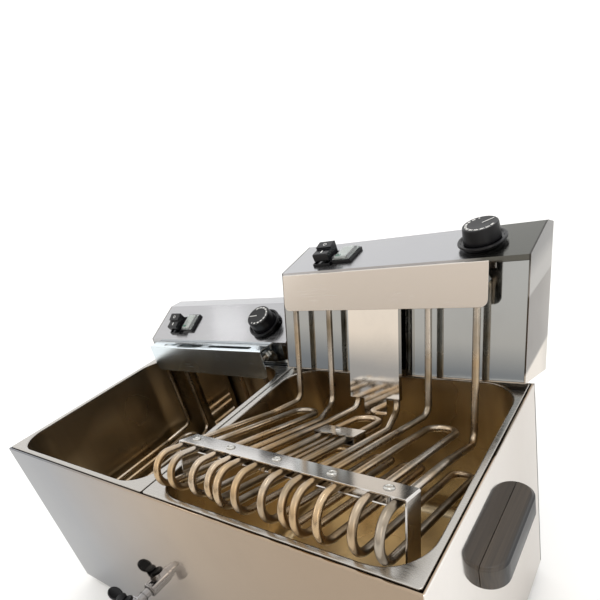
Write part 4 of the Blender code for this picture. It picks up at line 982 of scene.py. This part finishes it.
def lamp(name, side):
    """Signal lamp: a base, a clear bevelled cover, and a pale plate and green window inside it."""
    place, body, lens = panel_place(side, LAMP_X, LAMP_S), f"{name}_head", f"{name}_lamp_lens"
    half_w, half_l = LAMP_W / 2, SWITCH_LEN / 2
    base = prism(rounded_outline(-half_w, half_w, -half_l, half_l, 0.0012, 5), 0.0002, 0.0032)
    finish_piece(f"{name}_lamp_base", base, GLOSS_BLACK, body, f"{name}_lamp_frame", place=place, edge=0.0004)
    bm = bmesh.new()
    rings = []
    for w, l, z in ((0.0112, 0.0142, 0.0033), (0.0112, 0.0142, 0.0046), (0.0086, 0.0116, 0.0071)):
        rings.append([bm.verts.new((sx * w, sy * l, z)) for sx, sy in ((-1, -1), (1, -1), (1, 1), (-1, 1))])
    bridged(bm, rings)
    finish_piece(f"{name}_lens", bm, LENS, body, lens, place=place, edge=0.0006)
    plate = prism(rounded_outline(-0.0090, 0.0060, -0.0118, 0.0118, 0.0008, 4), 0.0040, 0.0058)
    finish_piece(f"{name}_lamp_plate", plate, PLATE, body, lens, extra=True, place=place)
    window = box(-0.0084, -0.0015, -0.0108, -0.0070, 0.0059, 0.0064)
    finish_piece(f"{name}_lamp_window", window, GREEN, body, lens, extra=True, place=place, edge=0.0002)
    rails = joined(box(-0.0106, -0.0094, -0.0124, 0.0124, 0.0036, 0.0052),
                   box(0.0064, 0.0078, -0.0124, 0.0124, 0.0036, 0.0052))
    finish_piece(f"{name}_lamp_rails", rails, GLOSS_BLACK, body, lens, extra=True, place=place, edge=0.0002)


def sensors(name, side):
    """Two capillaries, out of the head and dipping under the tubes, with the bulbs at their ends."""
    for kind, step in (("thermostat_bulb", -1), ("limiter_bulb", 1)):
        x = ELEMENT_MID + step * BULB_SPACING
        path = fillet([(x, OUTLET_Y, OUTLET_Z), (x, RISER_Y, OUTLET_Z), (x, RISER_Y, CAPILLARY_DIP_Z),
                       (x, 0.072, CAPILLARY_DIP_Z), (x, 0.062, UPPER_Z), (x, -0.068, UPPER_Z)],
                      [0, 0.008, 0.008, 0.01, 0.01, 0], 8)
        finish_piece(f"{name}_{kind}_tube", swept(path, CAPILLARY_R, 14), CAPILLARY, f"{name}_head",
                     f"{name}_{kind}", place=head_place(side))


def gland(name, side):
    """Ribbed cable gland on the head's back, with its mouth empty."""
    bm = lathe([(0, -0.0130), (0.0082, -0.0130), (0.0082, 0.0003), (0.0118, 0.0003), (0.0120, 0.0007),
                (0.0120, 0.0040), (0.0114, 0.0046), (0.0096, 0.0052), (0.0090, 0.0080), (0.0078, 0.0120),
                (0.0072, 0.0138), (0.0066, 0.0140), (0.0050, 0.0140), (0.0045, 0.0135), (0.0044, 0.0126),
                (0, 0.0126)], 48)
    spot = Matrix.Translation((GLAND_X, HEAD_BACK_Y, GLAND_Z)) @ Matrix.Rotation(math.radians(-90), 4, "X")
    finish_piece(f"{name}_gland", bm, KNOB_BLACK, f"{name}_head", f"{name}_cable_gland",
                 place=head_place(side) @ spot)


def heads():
    for name, side in SIDES.items():
        keep(f"{name}_control_cover", PANEL, 0.0007)
        keep(f"{name}_head_tray", HEAD_SIDE, 0.0005)
        keep(f"{name}_front_wall", MIRROR_HEAD, 0.0003)
        keep(f"{name}_guard_plate", GUARD, 0.0005)
        keep(f"{name}_bulb_clip", STRAP, 0.0003)
        keep(f"{name}_thermostat", PHENOLIC, 0.0005)
        for part in (shield, elements, clamp, dial, switch, lamp, sensors, gland):
            part(name, side)


# Floor, light and camera

def floor():
    bm = bmesh.new()
    bmesh.ops.create_grid(bm, x_segments=1, y_segments=1, size=14.0)
    mesh = bpy.data.meshes.new("floor")
    bm.to_mesh(mesh)
    bm.free()
    look = Look("floor_pale", (0.86, 0.85, 0.84), 0.0, 0.6)
    look.colour(look.mix(look.noise(3.0, detail=4.0), (0.92, 0.92, 0.91), (0.90, 0.90, 0.89)))
    mesh.materials.append(look.mat)
    floor = bpy.data.objects.new("floor", mesh)
    floor.location = (0, 0, -0.0004)
    bpy.context.scene.collection.objects.link(floor)


def background():
    """Soft studio: plain white behind, and in front a grey band low down under a warm ceiling."""
    world = bpy.data.worlds.new("studio")
    world.use_nodes = True
    bpy.context.scene.world = world
    tree = world.node_tree
    coord = tree.nodes.new("ShaderNodeTexCoord")
    split = tree.nodes.new("ShaderNodeSeparateXYZ")
    tree.links.new(coord.outputs["Generated"], split.inputs[0])
    rise = tree.nodes.new("ShaderNodeValToRGB")
    tree.links.new(split.outputs["Z"], rise.inputs["Fac"])
    stops = rise.color_ramp.elements
    stops[0].position, stops[0].color = 0.0, (0.26, 0.265, 0.27, 1.0)
    stops[1].position, stops[1].color = 1.0, (1.0, 1.0, 1.0, 1.0)
    for place, colour in ((0.11, (0.30, 0.30, 0.30)), (0.17, (0.70, 0.64, 0.57)), (0.45, (0.86, 0.82, 0.77))):
        stop = stops.new(place)
        stop.color = (*colour, 1.0)
    front = tree.nodes.new("ShaderNodeMapRange")
    tree.links.new(split.outputs["Y"], front.inputs["Value"])
    front.inputs["From Min"].default_value = -0.35
    front.inputs["From Max"].default_value = 0.25
    blend = tree.nodes.new("ShaderNodeMix")
    blend.data_type = "RGBA"
    tree.links.new(front.outputs["Result"], blend.inputs[0])
    tree.links.new(rise.outputs["Color"], blend.inputs[6])
    blend.inputs[7].default_value = (0.97, 0.97, 0.97, 1.0)
    tree.links.new(blend.outputs[2], tree.nodes["Background"].inputs["Color"])
    tree.nodes["Background"].inputs["Strength"].default_value = 1.35


def area_light(name, place, aim, size, power, colour=(1.0, 1.0, 1.0)):
    data = bpy.data.lights.new(name, "AREA")
    data.shape = "RECTANGLE"
    data.size, data.size_y = size
    data.energy = power
    data.color = colour
    obj = bpy.data.objects.new(name, data)
    obj.location = place
    obj.rotation_euler = (Vector(aim) - Vector(place)).to_track_quat("-Z", "Y").to_euler()
    bpy.context.scene.collection.objects.link(obj)


def lights():
    middle = (0, 0, 0.2)
    area_light("streak", (-1.17, 0.29, 1.31), (-0.125, 0.14, 0.297), (0.03, 0.14), 0.06)
    area_light("window", (-1.6, -0.9, 1.2), middle, (1.2, 0.8), 3.0, (0.95, 0.98, 1.0))
    area_light("ceiling", (0.4, 0.2, 2.2), middle, (1.2, 0.4), 4.0)
    area_light("fill", (1.5, -1.0, 0.9), middle, (0.4, 1.2), 2.5, (1.0, 0.94, 0.86))


def camera():
    data = bpy.data.cameras.new("camera")
    data.lens = CAMERA_LENS
    data.sensor_width = 36.0
    data.shift_x, data.shift_y = CAMERA_SHIFT
    data.clip_start = 0.01
    obj = bpy.data.objects.new("camera", data)
    obj.location = CAMERA_AT
    obj.rotation_euler = [math.radians(angle) for angle in CAMERA_TURN]
    bpy.context.scene.collection.objects.link(obj)
    bpy.context.scene.camera = obj
    bpy.context.scene.view_settings.view_transform = "Standard"


def flat_faces():
    """Large flats keep flat normals next to their rounded edges."""
    for piece in list(bpy.context.scene.collection.all_objects):
        if piece.type == "MESH" and not piece.hide_render and piece.name != "floor":
            flat = piece.modifiers.new("flat", "WEIGHTED_NORMAL")
            flat.keep_sharp = True
            flat.weight = 80


for make in (housing, tanks, handles, feet, taps, heads, floor, background, lights, camera, flat_faces):
    make()

bpy.context.view_layer.update()
